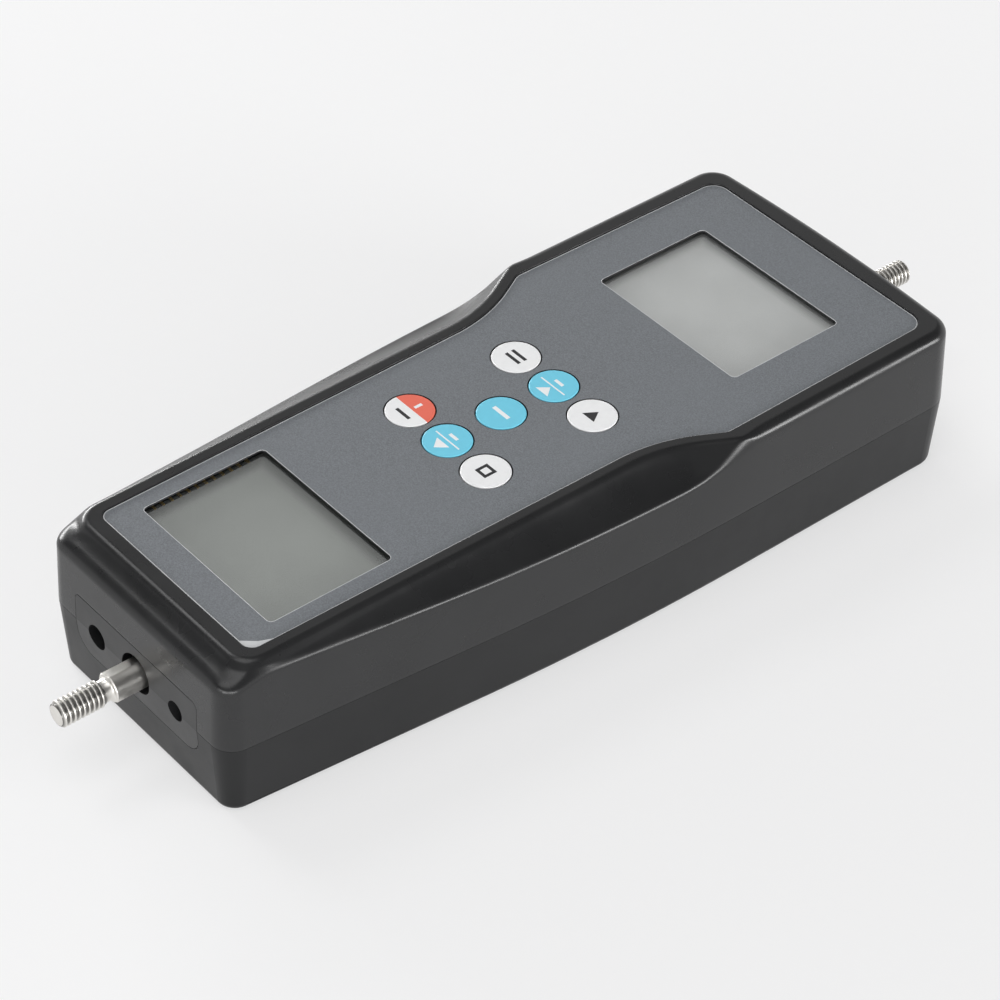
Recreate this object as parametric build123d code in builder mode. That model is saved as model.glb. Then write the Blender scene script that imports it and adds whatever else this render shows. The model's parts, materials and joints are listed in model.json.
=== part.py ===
from build123d import *
import math
import os

os.makedirs("parts", exist_ok=True)

# Hand-held digital force gauge lying on its back.
# X runs across the instrument, Y from the measuring rod to the hanging stud, Z up through the front panel.
# The origin is at the middle of the whole instrument, on the surface it lies on. All sizes in millimetres.

# Overall lengths
body_length = 197.9
rod_reach = 19.4
stud_reach = 23.0
keys_off_middle = 2.05

# Case outline, seen from above at the parting line
near_beside_sockets = 17.3
head_widening = 9.6
knee_beyond_keys = 0.7
near_corner_radius = 5.5
corner_shrink = 4.0
knee_radius = 746.0
far_corner_radius = 7.0
far_face_bow = 2.4
far_bow_share = 0.8

# Case heights and walls
lower_height = 18.2
upper_height = 20.1
lower_draft = 1.2
upper_draft = 0.75
cavity_inset = 2.8
floor_thickness = 2.4
bottom_edge_radius = 1.6
head_edge_radius = 2.5
near_edge_radius = 2.4
rim_edge_radius = 0.6
lip_height = 1.0
lip_thickness = 1.1
lip_clearance = 0.15

# Raised platform and the slopes around it
side_rim_width = 2.9
near_rim_width = 3.9
skirt_height = 12.0
shoulder_drop = 3.6
shoulder_half_width = 32.0
side_slope = 0.24
near_slope_drop = 3.1
near_slope = 0.05
lower_cavity_top = 30.5

# Front panel
panel_thickness = 0.5
panel_below_rim = 0.4
panel_clearance = 0.15
panel_near_margin = 4.9
waist_margin = 3.7
panel_head_margin = 5.5
panel_far_margin = 6.2
panel_from_near_face = 10.4
panel_from_far_face = 7.0
flare_from_keys = 19.5
flare_angle = math.radians(28.3)
panel_near_radius = 2.5
flare_radius = 40.0
kink_radius = 2.5
panel_far_radius = 4.0
top_plate_thickness = 2.2

# Displays
upper_window_margin = 8.8
upper_window_share = 0.1597
upper_window_y_share = 0.31935
lower_window_margin = 9.0
lower_window_share = 0.1582
lower_window_y_share = -0.3173
window_corner_radius = 1.2
window_sheet_thickness = 0.5
window_sheet_lap = 1.9
upper_glass_lap = 2.15
lower_glass_lap = 1.3
glass_thickness = 2.8
upper_glass_depth = 1.3
lower_glass_depth = 2.3
glass_clearance = 0.8
frame_wall = 1.8
frame_clearance = 0.1
pin_count = 12
pin_pitch = 2.2
pin_width = 0.6
pin_thickness = 0.4
pin_lap = 0.9

# Circuit boards
board_thickness = 1.6
board_margin = 4.2
board_from_near_face = 15.9
board_from_far_face = 17.0
board_below_plate = 4.8
board_corner_radius = 2.0
processor_place = (0.0, -2.0)
processor_size = (12.0, 12.0, 1.6)
memory_place = (-16.0, 4.0)
memory_size = (8.0, 6.0, 1.5)
crystal_place = (16.0, 6.0)
crystal_size = (5.0, 3.4, 2.2)
plug_inset = 7.0
plug_beyond_post = 10.0
display_plug_size = (6.0, 14.0, 2.4)
socket_plug_size = (6.0, 12.0, 2.4)

# Keys and their switches
key_radius = 5.5
key_pitch_x = 12.87
key_pitch_y = 14.86
key_proud = 0.1
key_clearance = 0.3
key_travel = 0.3
key_flange_radius = 6.1
key_flange_thickness = 1.0
key_flange_gap = 0.3
key_edge_radius = 0.3
switch_size = 6.2
switch_height = 3.0
switch_floor = 0.6
plunger_radius = 1.75
plunger_clearance = 0.3
plunger_depth = 1.8

# Near end plate and its sockets
end_plate_beside_sockets = 7.5
end_plate_above_axis = 7.2
end_plate_below_axis = 7.6
end_plate_top_radius = 1.5
end_plate_bottom_radius = 5.0
end_plate_clearance = 0.12
end_plate_flange = 1.2
end_plate_flange_thickness = 1.2
rod_hole_radius = 4.8
socket_offset = 13.9
charge_hole_radius = 2.95
data_hole_radius = 2.4
socket_width = 9.0
socket_height = 10.0
socket_length = 12.0
charge_bore_radius = 3.6
charge_pin_radius = 1.0
charge_pin_set_back = 3.0
data_bore_radius = 1.8
socket_bore_length = 9.0
socket_board_margin = 10.2
socket_board_length = 11.5
socket_post_inset = 7.9
socket_post_from_edge = 3.0

# Measuring rod and hanging stud
thread_radius = 3.0
thread_length = 10.8
neck_radius = 2.45
neck_length = 1.8
shank_radius = 3.45
tip_chamfer = 0.6
thread_clearance = 0.03
nut_across_flats = 10.0
nut_thickness = 5.0
nut_corner_chamfer = 0.5
far_hole_radius = 4.4

# Load cell, an S-shaped beam
cell_from_near_face = 22.0
cell_half_width = 20.0
cell_thickness = 12.7
cell_bar_depth = 9.0
cell_slot = 1.5
cell_link_width = 8.0
flexure_hole_radius = 6.5
flexure_wall = 1.6
flexure_hole_offset = 9.0
flexure_slot = 3.0
gauge_foil = (6.0, 3.0, 0.12)
rod_depth_in_cell = 8.0
cell_screw_offset = 13.0

# Chassis and the far stud's block
plate_bottom_z = 7.0
plate_thickness = 3.0
plate_half_width = 24.0
plate_lap = 2.0
plate_corner_radius = 4.0
block_half_width = 12.0
block_depth = 10.0
block_height = 16.0
block_from_far_face = 4.6
block_screw_offset = 8.0

# Battery
battery_margin = 22.4
cell_below_axis = 4.0
cell_spacing = 0.6
battery_from_cell = 15.7
battery_to_amplifier = 18.0
cradle_floor = 1.2
cradle_saddle_height = 6.0
cradle_wall = 1.5
cradle_wall_height = 10.0
cradle_clearance = 0.2
terminal_radius = 2.6
terminal_height = 0.9

# Amplifier board
amplifier_from_block = 8.4
amplifier_size = (52.0, 32.0)
amplifier_lift = 5.0
converter_place = (-12.0, 4.0)
converter_size = (10.0, 7.6, 2.4)
reference_place = (4.0, -4.0)
reference_size = (5.0, 6.2, 1.7)
gauge_plug_place = (16.0, 5.0)
gauge_plug_size = (6.0, 10.0, 5.5)
pillar_radius = 2.5
pillar_inset = 4.0

# Screws and threaded inserts
post_radius = 3.5
case_screw_radius = 1.5
case_screw_length = 18.0
case_screw_head_radius = 2.75
case_screw_head_height = 2.0
case_screw_recess_radius = 3.1
case_screw_recess_depth = 8.0
screw_clearance = 0.05
near_post_margin = 6.2
near_post_from_face = 9.0
far_post_margin = 7.8
far_post_from_face = 9.5
board_screw_radius = 1.25
board_screw_head_radius = 2.2
board_screw_head_height = 1.6
board_screw_length = 5.0
board_post_radius = 2.75
board_post_inset = 3.5
board_post_share = 0.192
chassis_screw_radius = 1.5
chassis_screw_length = 6.0
chassis_post_radius = 4.0
chassis_post_beside_cell = 1.0
chassis_post_from_cell = 6.7
middle_post_x = 10.0
middle_post_from_amplifier = 1.5
far_chassis_post_x = 18.0
cell_screw_radius = 2.0
cell_screw_head_radius = 3.5
cell_screw_head_height = 4.0
insert_offset_x = 20.0
insert_near_share = -0.30318
insert_far_share = 0.25265
insert_radius = 2.8
insert_bore_radius = 1.65
insert_length = 5.2
insert_boss_radius = 4.2
insert_boss_height = 6.5

# Sizes and places worked out from the ones above
near_half_width = socket_offset + near_beside_sockets
head_half_width = near_half_width + head_widening
keys_from_near_face = body_length / 2 - keys_off_middle
knee_from_near_face = keys_from_near_face + knee_beyond_keys
far_bow_radius = far_bow_share * head_half_width**2 / far_face_bow
panel_near_half_width = near_half_width - panel_near_margin
waist_half_width = near_half_width - waist_margin
panel_head_half_width = head_half_width - panel_head_margin
panel_far_half_width = head_half_width - panel_far_margin
end_plate_half_width = socket_offset + end_plate_beside_sockets
socket_board_half_width = near_half_width - socket_board_margin
board_half_width = near_half_width - board_margin
upper_window_size = (2 * (near_half_width - upper_window_margin), upper_window_share * body_length)
lower_window_size = (2 * (near_half_width - lower_window_margin), lower_window_share * body_length)
upper_glass_size = [side + 2 * upper_glass_lap for side in upper_window_size]
lower_glass_size = [side + 2 * lower_glass_lap for side in lower_window_size]
cell_radius = (lower_height - cell_below_axis) / 2
cell_pitch = 2 * cell_radius + cell_spacing
cell_count = round((2 * head_half_width - battery_margin) / cell_pitch)
near_y = rod_reach - (body_length + rod_reach + stud_reach) / 2
far_y = near_y + body_length
far_apex_y = far_y + far_face_bow / 3
keys_y = near_y + keys_from_near_face
split_z = lower_height
axis_z = split_z
rim_z = split_z + upper_height
panel_top_z = rim_z - panel_below_rim
seat_z = panel_top_z - panel_thickness
plate_under_z = seat_z - top_plate_thickness
board_top_z = plate_under_z - board_below_plate
board_bottom_z = board_top_z - board_thickness
panel_near_y = near_y + panel_from_near_face
panel_far_y = far_y - panel_from_far_face
flare_y = keys_y + flare_from_keys
upper_window_y = keys_y + upper_window_y_share * body_length
lower_window_y = keys_y + lower_window_y_share * body_length
plate_top_z = plate_bottom_z + plate_thickness
cell_y = near_y + cell_from_near_face
flexure_depth = 2 * (flexure_hole_radius + flexure_wall)
flexure_y = cell_y + cell_bar_depth + cell_slot
cell_base_y = flexure_y + flexure_depth + cell_slot
cell_far_y = cell_base_y + cell_bar_depth
cell_bottom_z = axis_z - cell_thickness / 2
block_far_y = far_y - block_from_far_face
block_near_y = block_far_y - block_depth
plate_near_y = cell_base_y - plate_lap
plate_far_y = block_far_y
socket_face_y = near_y + cavity_inset + end_plate_flange_thickness
socket_board_top_z = axis_z - socket_height / 2
board_near_y = near_y + board_from_near_face
board_far_y = far_y - board_from_far_face
board_y = (board_near_y + board_far_y) / 2
board_post_y = board_post_share * body_length
plug_x, plug_y = board_half_width - plug_inset, board_post_y + plug_beyond_post
amplifier_y = block_near_y - amplifier_from_block - amplifier_size[1] / 2
battery_near_y = cell_far_y + battery_from_cell
cell_length = amplifier_y - amplifier_size[1] / 2 - battery_to_amplifier - battery_near_y
battery_y = battery_near_y + cell_length / 2
BOTTOM = (Align.CENTER, Align.CENTER, Align.MIN)
TOP = (Align.CENTER, Align.CENTER, Align.MAX)

key_places = {
    "upper_left": (-key_pitch_x, keys_y + key_pitch_y),
    "upper_middle": (0.0, keys_y + key_pitch_y),
    "upper_right": (key_pitch_x, keys_y + key_pitch_y),
    "centre": (0.0, keys_y),
    "lower_left": (-key_pitch_x, keys_y - key_pitch_y),
    "lower_middle": (0.0, keys_y - key_pitch_y),
    "lower_right": (key_pitch_x, keys_y - key_pitch_y),
}
case_post_places = [
    (side * x, y)
    for x, y in (
        (near_half_width - near_post_margin, near_y + near_post_from_face),
        (head_half_width - far_post_margin, far_y - far_post_from_face),
    )
    for side in (-1, 1)
]
board_post_places = [
    (side * (board_half_width - board_post_inset), keys_y + end * board_post_y)
    for end in (-1, 1)
    for side in (-1, 1)
]
socket_post_places = [
    (side * (socket_offset - socket_post_inset), socket_face_y + socket_board_length - socket_post_from_edge) for side in (-1, 1)
]
chassis_post_places = [
    (side * x, y)
    for x, y in (
        (cell_half_width + chassis_post_beside_cell, cell_far_y + chassis_post_from_cell),
        (middle_post_x, amplifier_y - amplifier_size[1] / 2 - middle_post_from_amplifier),
        (far_chassis_post_x, block_far_y - block_depth / 2),
    )
    for side in (-1, 1)
]
insert_places = [
    (side * insert_offset_x, keys_y + share * body_length)
    for share in (insert_near_share, insert_far_share)
    for side in (-1, 1)
]
cell_screw_places = [(side * cell_screw_offset, cell_base_y + cell_bar_depth / 2) for side in (-1, 1)]
block_screw_places = [(side * block_screw_offset, block_far_y - block_depth / 2) for side in (-1, 1)]
pillar_places = [
    (side * (amplifier_size[0] / 2 - pillar_inset), amplifier_y + end * (amplifier_size[1] / 2 - pillar_inset))
    for end in (-1, 1)
    for side in (-1, 1)
]


def at_height(places, z):
    """The same places in plan, lifted to one height."""
    return [(x, y, z) for x, y in places]


def outline(right, radii, far_point=None, far_radius=0.0):
    """Sketch of a rounded outline symmetric about X = 0, from the corners of its right half."""
    middle = [far_point] if far_point else []
    left = [(-x, y) for x, y in reversed(right)]
    with BuildSketch(Plane.XY, mode=Mode.PRIVATE) as drawn:
        with BuildLine():
            FilletPolyline(
                *right,
                *middle,
                *left,
                radius=radii + [far_radius] * len(middle) + radii[::-1],
                close=True,
            )
        make_face()
    return drawn.sketch_local


def case_outline(inset):
    """Plan of the case: straight near sides, a long knee, parallel head and a slightly bowed far face."""
    return outline(
        [
            (near_half_width - inset, near_y + inset),
            (head_half_width - inset, near_y + knee_from_near_face),
            (head_half_width - inset, far_apex_y - inset - far_face_bow * (1 - inset / head_half_width)),
        ],
        [near_corner_radius - min(inset, corner_shrink), knee_radius, far_corner_radius - min(inset, corner_shrink)],
        (0, far_apex_y - inset),
        far_bow_radius,
    )


def panel_outline(grow):
    """Plan of the front panel: narrow waist, flare and wide head, grown evenly outwards."""
    lift = grow * math.tan(flare_angle / 2)
    flare_top_y = flare_y + (panel_head_half_width - waist_half_width) / math.tan(flare_angle)
    return outline(
        [
            (panel_near_half_width + grow, panel_near_y - grow),
            (waist_half_width + grow, flare_y - lift),
            (panel_head_half_width + grow, flare_top_y - lift),
            (panel_far_half_width + grow, panel_far_y + grow),
        ],
        [panel_near_radius + grow, flare_radius - grow, kink_radius + grow, panel_far_radius + grow],
    )


def platform_outline(grow):
    """Plan of the raised platform's rim, whose flare runs on past the sides of the head."""
    side = side_rim_width + grow
    waist = (waist_half_width + side, flare_y - side * math.tan(flare_angle / 2))
    past = 2 * head_half_width
    return outline(
        [
            (panel_near_half_width + side + 0.1, panel_near_y - near_rim_width - grow),
            waist,
            (past, waist[1] + (past - waist[0]) / math.tan(flare_angle)),
            (past, 2 * far_y),
        ],
        [panel_near_radius + side, flare_radius - side, 0.0, 0.0],
    )


def end_plate_outline(grow):
    """Outline of the near end plate, wide corners at the bottom and tight ones at the top."""
    top, bottom = axis_z + end_plate_above_axis + grow, axis_z - end_plate_below_axis - grow
    return outline(
        [(end_plate_half_width + grow, bottom), (end_plate_half_width + grow, top)],
        [end_plate_bottom_radius + grow, end_plate_top_radius + grow],
    )


def facing_near(y):
    """Plane across the instrument at y; a negative extrusion runs towards the far end."""
    return Plane.XZ.offset(-y)


def window_hole(size, y, grow=0.0, corner=window_corner_radius):
    """Rounded rectangle of a window or something that fits it, centred across the instrument."""
    with Locations((0, y)):
        RectangleRounded(size[0] + 2 * grow, size[1] + 2 * grow, corner)


def nut_outline():
    """Hexagon nut on the measuring axis with its threaded hole."""
    with BuildSketch(Plane.XY, mode=Mode.PRIVATE) as drawn:
        with Locations((0, axis_z)):
            RegularPolygon(nut_across_flats / 2, 6, major_radius=False)
            Circle(thread_radius + thread_clearance, mode=Mode.SUBTRACT)
    return drawn.sketch_local


def bar_profile(steps):
    """Closed half profile of a turned bar on the measuring axis, from its (y, radius) steps."""
    with BuildSketch(Plane.XY, mode=Mode.PRIVATE) as drawn:
        with BuildLine():
            Polyline((steps[0][0], axis_z), *[(y, axis_z + r) for y, r in steps], (steps[-1][0], axis_z), close=True)
        make_face()
    return drawn.sketch_local


def screws(places, seat_z, head_radius, head_height, radius, length, up):
    """Screws whose heads bear on seat_z, pointing up or down."""
    with Locations(*at_height(places, seat_z)):
        Cylinder(head_radius, head_height, align=TOP if up else BOTTOM)
        Cylinder(radius, length, align=BOTTOM if up else TOP)


# Envelope of the upper half: drafted block, scooped down beside the platform
with BuildPart() as platform:
    for z, grow in ((rim_z, 0.0), (rim_z - skirt_height, skirt_height)):
        with BuildSketch(Plane.XY.offset(z)):
            add(platform_outline(grow))
    loft(ruled=True)

shoulder_z = rim_z - shoulder_drop
ridge_z = shoulder_z + side_slope * shoulder_half_width
wide = 2 * head_half_width
edge_z = ridge_z - side_slope * wide
sky_z = 2 * rim_z
near_edge_z = rim_z - near_slope_drop
near_wall_y = near_y + upper_draft
round_y = near_wall_y + near_edge_radius
round_z = near_edge_z + near_slope * (round_y - near_y)
half_way = near_edge_radius * math.sqrt(0.5)

with BuildPart() as scoop:
    with BuildSketch(facing_near(2 * far_y)):
        with BuildLine():
            Polyline((0, ridge_z), (wide, edge_z), (wide, sky_z), (-wide, sky_z), (-wide, edge_z), close=True)
        make_face()
    extrude(amount=4 * far_y)
    with BuildSketch(Plane.YZ):
        with BuildLine():
            reach = upper_height / near_slope
            Polyline(
                (round_y, round_z),
                (near_y + reach, near_edge_z + near_slope * reach),
                (near_y + reach, sky_z),
                (near_y - rod_reach, sky_z),
                (near_y - rod_reach, round_z - near_edge_radius),
                (near_wall_y, round_z - near_edge_radius),
            )
            ThreePointArc(
                (near_wall_y, round_z - near_edge_radius),
                (round_y - half_way, round_z - near_edge_radius + half_way),
                (round_y, round_z),
            )
        make_face()
    extrude(amount=wide, both=True)
    add(platform.part, mode=Mode.SUBTRACT)

with BuildPart() as upper_case:
    for z, inset in ((split_z, 0.0), (rim_z, upper_draft)):
        with BuildSketch(Plane.XY.offset(z)):
            add(case_outline(inset))
    loft(ruled=True)
    add(scoop.part, mode=Mode.SUBTRACT)
    rim_edges = upper_case.faces().sort_by(Axis.Z)[-1].outer_wire().edges()
    head_edges = rim_edges.filter_by(
        lambda e: e.center().Y > flare_y and abs(e.center().X) > head_half_width - 1.5 or e.center().Y > upper_window_y
    )
    fillet(head_edges, head_edge_radius)
    rim_edges = upper_case.faces().sort_by(Axis.Z)[-1].outer_wire().edges()
    waist_edges = rim_edges.filter_by(
        lambda e: e.center().Y < flare_y + 20 and abs(e.center().X) < head_half_width - head_edge_radius - 0.4
    )
    fillet(waist_edges, rim_edge_radius)

with BuildPart() as upper_envelope:
    add(upper_case.part)

# Upper case: cavity, panel seat, openings, screw posts and board posts
with BuildPart() as upper_case:
    add(upper_envelope.part)
    with BuildSketch(Plane.XY.offset(split_z)):
        add(case_outline(cavity_inset))
    extrude(amount=lower_cavity_top - split_z, mode=Mode.SUBTRACT)
    with BuildSketch(Plane.XY.offset(lower_cavity_top)):
        add(case_outline(cavity_inset + upper_draft))
        add(platform_outline(-0.6), mode=Mode.INTERSECT)
    extrude(amount=plate_under_z - lower_cavity_top, mode=Mode.SUBTRACT)
    with BuildSketch(Plane.XY.offset(split_z)):
        add(case_outline(cavity_inset - lip_thickness - lip_clearance))
    extrude(amount=lip_height + lip_clearance, mode=Mode.SUBTRACT)
    with BuildSketch(Plane.XY.offset(rim_z)):
        add(panel_outline(panel_clearance))
    extrude(amount=seat_z - rim_z, mode=Mode.SUBTRACT)
    with BuildSketch(Plane.XY.offset(seat_z)):
        window_hole(upper_glass_size, upper_window_y, glass_clearance)
        window_hole(lower_glass_size, lower_window_y, glass_clearance)
        with Locations(*key_places.values()):
            Circle(key_radius + key_clearance)
    extrude(amount=-top_plate_thickness, mode=Mode.SUBTRACT)
    with Locations(*at_height(case_post_places, split_z)):
        Cylinder(post_radius, plate_under_z - split_z, align=BOTTOM)
        Cylinder(
            case_screw_radius + screw_clearance,
            case_screw_length - lower_height + case_screw_recess_depth + 1.0,
            align=BOTTOM,
            mode=Mode.SUBTRACT,
        )
    with Locations(*at_height(board_post_places, board_top_z)):
        Cylinder(board_post_radius, board_below_plate, align=BOTTOM)
        Cylinder(board_screw_radius + screw_clearance, board_below_plate - 0.8, align=BOTTOM, mode=Mode.SUBTRACT)
    with BuildSketch(facing_near(near_y - 1.0)):
        add(end_plate_outline(end_plate_clearance))
    extrude(amount=-(cavity_inset + 1.5), mode=Mode.SUBTRACT)
    with BuildSketch(facing_near(far_y - 2 * cavity_inset)):
        with Locations((0, axis_z)):
            Circle(far_hole_radius)
    extrude(amount=-3 * cavity_inset, mode=Mode.SUBTRACT)
upper_case.part.label = "upper_case"
export_step(upper_case.part, "parts/upper_case.step")

# Envelope of the lower half: drafted tray with a rounded bottom edge
with BuildPart() as lower_envelope:
    for z, inset in ((0.0, lower_draft), (split_z, 0.0)):
        with BuildSketch(Plane.XY.offset(z)):
            add(case_outline(inset))
    loft(ruled=True)
    fillet(lower_envelope.faces().sort_by(Axis.Z)[0].edges(), bottom_edge_radius)

with BuildPart() as body_envelope:
    add(upper_envelope.part)
    add(lower_envelope.part)

# Lower case: tray, lip, posts for the case screws and bosses for the inserts
with BuildPart() as lower_case:
    add(lower_envelope.part)
    with BuildSketch(Plane.XY.offset(floor_thickness)):
        add(case_outline(cavity_inset))
    extrude(amount=split_z - floor_thickness, mode=Mode.SUBTRACT)
    with BuildSketch(Plane.XY.offset(split_z)):
        add(case_outline(cavity_inset - lip_thickness))
        add(case_outline(cavity_inset), mode=Mode.SUBTRACT)
    extrude(amount=lip_height)
    with Locations(*at_height(case_post_places, floor_thickness)):
        Cylinder(post_radius + 1.0, case_screw_recess_depth + 2.0 - floor_thickness, align=BOTTOM)
        Cylinder(post_radius, split_z - floor_thickness, align=BOTTOM)
    with Locations(*at_height(case_post_places, 0.0)):
        Cylinder(case_screw_recess_radius, case_screw_recess_depth, align=BOTTOM, mode=Mode.SUBTRACT)
        Cylinder(case_screw_radius + 4 * screw_clearance, split_z, align=BOTTOM, mode=Mode.SUBTRACT)
    with Locations(*at_height(insert_places, 0.0)):
        Cylinder(insert_boss_radius, insert_boss_height, align=BOTTOM)
        Cylinder(insert_radius, insert_length + 0.3, align=BOTTOM, mode=Mode.SUBTRACT)
    with BuildSketch(facing_near(near_y - 1.0)):
        add(end_plate_outline(end_plate_clearance))
    extrude(amount=-(cavity_inset + 1.5), mode=Mode.SUBTRACT)
    with BuildSketch(facing_near(far_y - 2 * cavity_inset)):
        with Locations((0, axis_z)):
            Circle(far_hole_radius)
    extrude(amount=-3 * cavity_inset, mode=Mode.SUBTRACT)
lower_case.part.label = "lower_case"
export_step(lower_case.part, "parts/lower_case.step")

# Threaded spacers that stand on the floor under the chassis plate and the socket board
with BuildPart() as floor_spacers:
    with Locations(*at_height(chassis_post_places, floor_thickness)):
        Cylinder(chassis_post_radius, plate_bottom_z - floor_thickness, align=BOTTOM)
    with Locations(*at_height(chassis_post_places, plate_bottom_z)):
        Cylinder(
            chassis_screw_radius + screw_clearance,
            chassis_screw_length - plate_thickness + 0.5,
            align=TOP,
            mode=Mode.SUBTRACT,
        )
    with Locations(*at_height(socket_post_places, floor_thickness)):
        Cylinder(board_post_radius, socket_board_top_z - board_thickness - floor_thickness, align=BOTTOM)
    with Locations(*at_height(socket_post_places, socket_board_top_z - board_thickness)):
        Cylinder(board_screw_radius + screw_clearance, board_screw_length, align=TOP, mode=Mode.SUBTRACT)
floor_spacers.part.label = "floor_spacers"
export_step(floor_spacers.part, "parts/floor_spacers.step")

# Near end plate: fills the notch in both halves flush with their faces, flange behind the wall
with BuildPart() as end_plate:
    with BuildSketch(facing_near(near_y - 1.0)):
        add(end_plate_outline(0.0))
    extrude(amount=-(cavity_inset + 1.0))
    add(body_envelope.part, mode=Mode.INTERSECT)
    with BuildSketch(facing_near(near_y + cavity_inset)):
        add(end_plate_outline(end_plate_flange))
    extrude(amount=-end_plate_flange_thickness)
    with BuildSketch(facing_near(near_y - 1.0)):
        with Locations((0, axis_z)):
            Circle(rod_hole_radius)
        with Locations((-socket_offset, axis_z)):
            Circle(charge_hole_radius)
        with Locations((socket_offset, axis_z)):
            Circle(data_hole_radius)
    extrude(amount=-(cavity_inset + end_plate_flange_thickness + 2.0), mode=Mode.SUBTRACT)
end_plate.part.label = "end_plate"
export_step(end_plate.part, "parts/end_plate.step")

# Front panel: thin plate with two windows and seven key holes
with BuildPart() as panel_overlay:
    with BuildSketch(Plane.XY.offset(seat_z)):
        add(panel_outline(0.0))
        with Locations((0, upper_window_y)):
            RectangleRounded(*upper_window_size, window_corner_radius, mode=Mode.SUBTRACT)
        with Locations((0, lower_window_y)):
            RectangleRounded(*lower_window_size, window_corner_radius, mode=Mode.SUBTRACT)
        with Locations(*key_places.values()):
            Circle(key_radius + key_clearance, mode=Mode.SUBTRACT)
    extrude(amount=panel_thickness)
panel_overlay.part.label = "panel_overlay"
export_step(panel_overlay.part, "parts/panel_overlay.step")

# Displays: clear sheet under the panel, glass cell below it, holder and contact pins
displays = {
    "upper": (upper_window_size, upper_window_y, upper_glass_size, panel_top_z - upper_glass_depth),
    "lower": (lower_window_size, lower_window_y, lower_glass_size, panel_top_z - lower_glass_depth),
}
for name, (window_size, window_y, glass_size, glass_top_z) in displays.items():
    glass_bottom_z = glass_top_z - glass_thickness
    with BuildPart() as window_sheet:
        with BuildSketch(Plane.XY.offset(seat_z)):
            window_hole(window_size, window_y, window_sheet_lap)
        extrude(amount=-window_sheet_thickness)
    window_sheet.part.label = f"{name}_window"
    export_step(window_sheet.part, f"parts/{name}_window.step")

    with BuildPart() as glass:
        with BuildSketch(Plane.XY.offset(glass_bottom_z)):
            window_hole(glass_size, window_y, corner=0.4)
        extrude(amount=glass_thickness)
    glass.part.label = f"{name}_lcd"
    export_step(glass.part, f"parts/{name}_lcd.step")

    with BuildPart() as holder:
        with BuildSketch(Plane.XY.offset(board_top_z)):
            window_hole(glass_size, window_y, glass_clearance + frame_wall)
        extrude(amount=plate_under_z - frame_clearance - board_top_z)
        with BuildSketch(Plane.XY.offset(glass_bottom_z)):
            window_hole(glass_size, window_y, glass_clearance, corner=0.6)
        extrude(amount=plate_under_z - glass_bottom_z, mode=Mode.SUBTRACT)
        with Locations((-glass_size[0] / 2 - glass_clearance / 2, window_y, board_top_z)):
            Box(
                glass_clearance,
                pin_count * pin_pitch,
                glass_thickness * 2,
                align=BOTTOM,
                mode=Mode.SUBTRACT,
            )
    holder.part.label = f"{name}_lcd_frame"
    export_step(holder.part, f"parts/{name}_lcd_frame.step")

    with BuildPart() as pins:
        with BuildSketch(facing_near(window_y - (pin_count - 1) * pin_pitch / 2 - pin_width / 2)):
            with BuildLine():
                outer_x = -glass_size[0] / 2 - pin_thickness
                inner_x = -glass_size[0] / 2
                Polyline(
                    (outer_x, board_top_z),
                    (inner_x, board_top_z),
                    (inner_x, glass_top_z),
                    (inner_x + pin_lap, glass_top_z),
                    (inner_x + pin_lap, glass_top_z + pin_thickness / 2),
                    (outer_x, glass_top_z + pin_thickness / 2),
                    close=True,
                )
            make_face()
        pin = extrude(amount=-pin_width)
        with Locations(*[(0, i * pin_pitch, 0) for i in range(1, pin_count)]):
            add(pin)
    pins.part.label = f"{name}_lcd_pins"
    export_step(pins.part, f"parts/{name}_lcd_pins.step")

# Main board under the displays and keys
with BuildPart() as main_board:
    with BuildSketch(Plane.XY.offset(board_bottom_z)):
        with Locations((0, board_y)):
            RectangleRounded(2 * board_half_width, board_far_y - board_near_y, board_corner_radius)
        with Locations(*board_post_places):
            Circle(board_screw_radius + 2 * screw_clearance, mode=Mode.SUBTRACT)
    extrude(amount=board_thickness)
main_board.part.label = "main_board"
export_step(main_board.part, "parts/main_board.step")

# Larger parts under the main board: processor, memory, crystal and connectors
with BuildPart() as board_chips:
    for chip_place, chip_size in (
        (processor_place, processor_size),
        (memory_place, memory_size),
        (crystal_place, crystal_size),
        ((-plug_x, plug_y), display_plug_size),
        ((plug_x, -plug_y), socket_plug_size),
    ):
        with Locations((chip_place[0], keys_y + chip_place[1], board_bottom_z)):
            Box(*chip_size, align=TOP)
board_chips.part.label = "board_chips"
export_step(board_chips.part, "parts/board_chips.step")

# Small screws that hold the main board and the socket board
with BuildPart() as board_screws:
    screws(
        board_post_places,
        board_bottom_z,
        board_screw_head_radius,
        board_screw_head_height,
        board_screw_radius,
        board_screw_length,
        up=True,
    )
    screws(
        socket_post_places,
        socket_board_top_z,
        board_screw_head_radius,
        board_screw_head_height,
        board_screw_radius,
        board_screw_length,
        up=False,
    )
board_screws.part.label = "board_screws"
export_step(board_screws.part, "parts/board_screws.step")

# Keys, each with its plunger, over the switch housings
with BuildPart() as key_switches:
    with Locations(*at_height(key_places.values(), board_top_z)):
        Box(switch_size, switch_size, switch_height, align=BOTTOM)
    with Locations(*at_height(key_places.values(), board_top_z + switch_floor)):
        Cylinder(plunger_radius + plunger_clearance, switch_height, align=BOTTOM, mode=Mode.SUBTRACT)
key_switches.part.label = "key_switches"
export_step(key_switches.part, "parts/key_switches.step")

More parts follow.
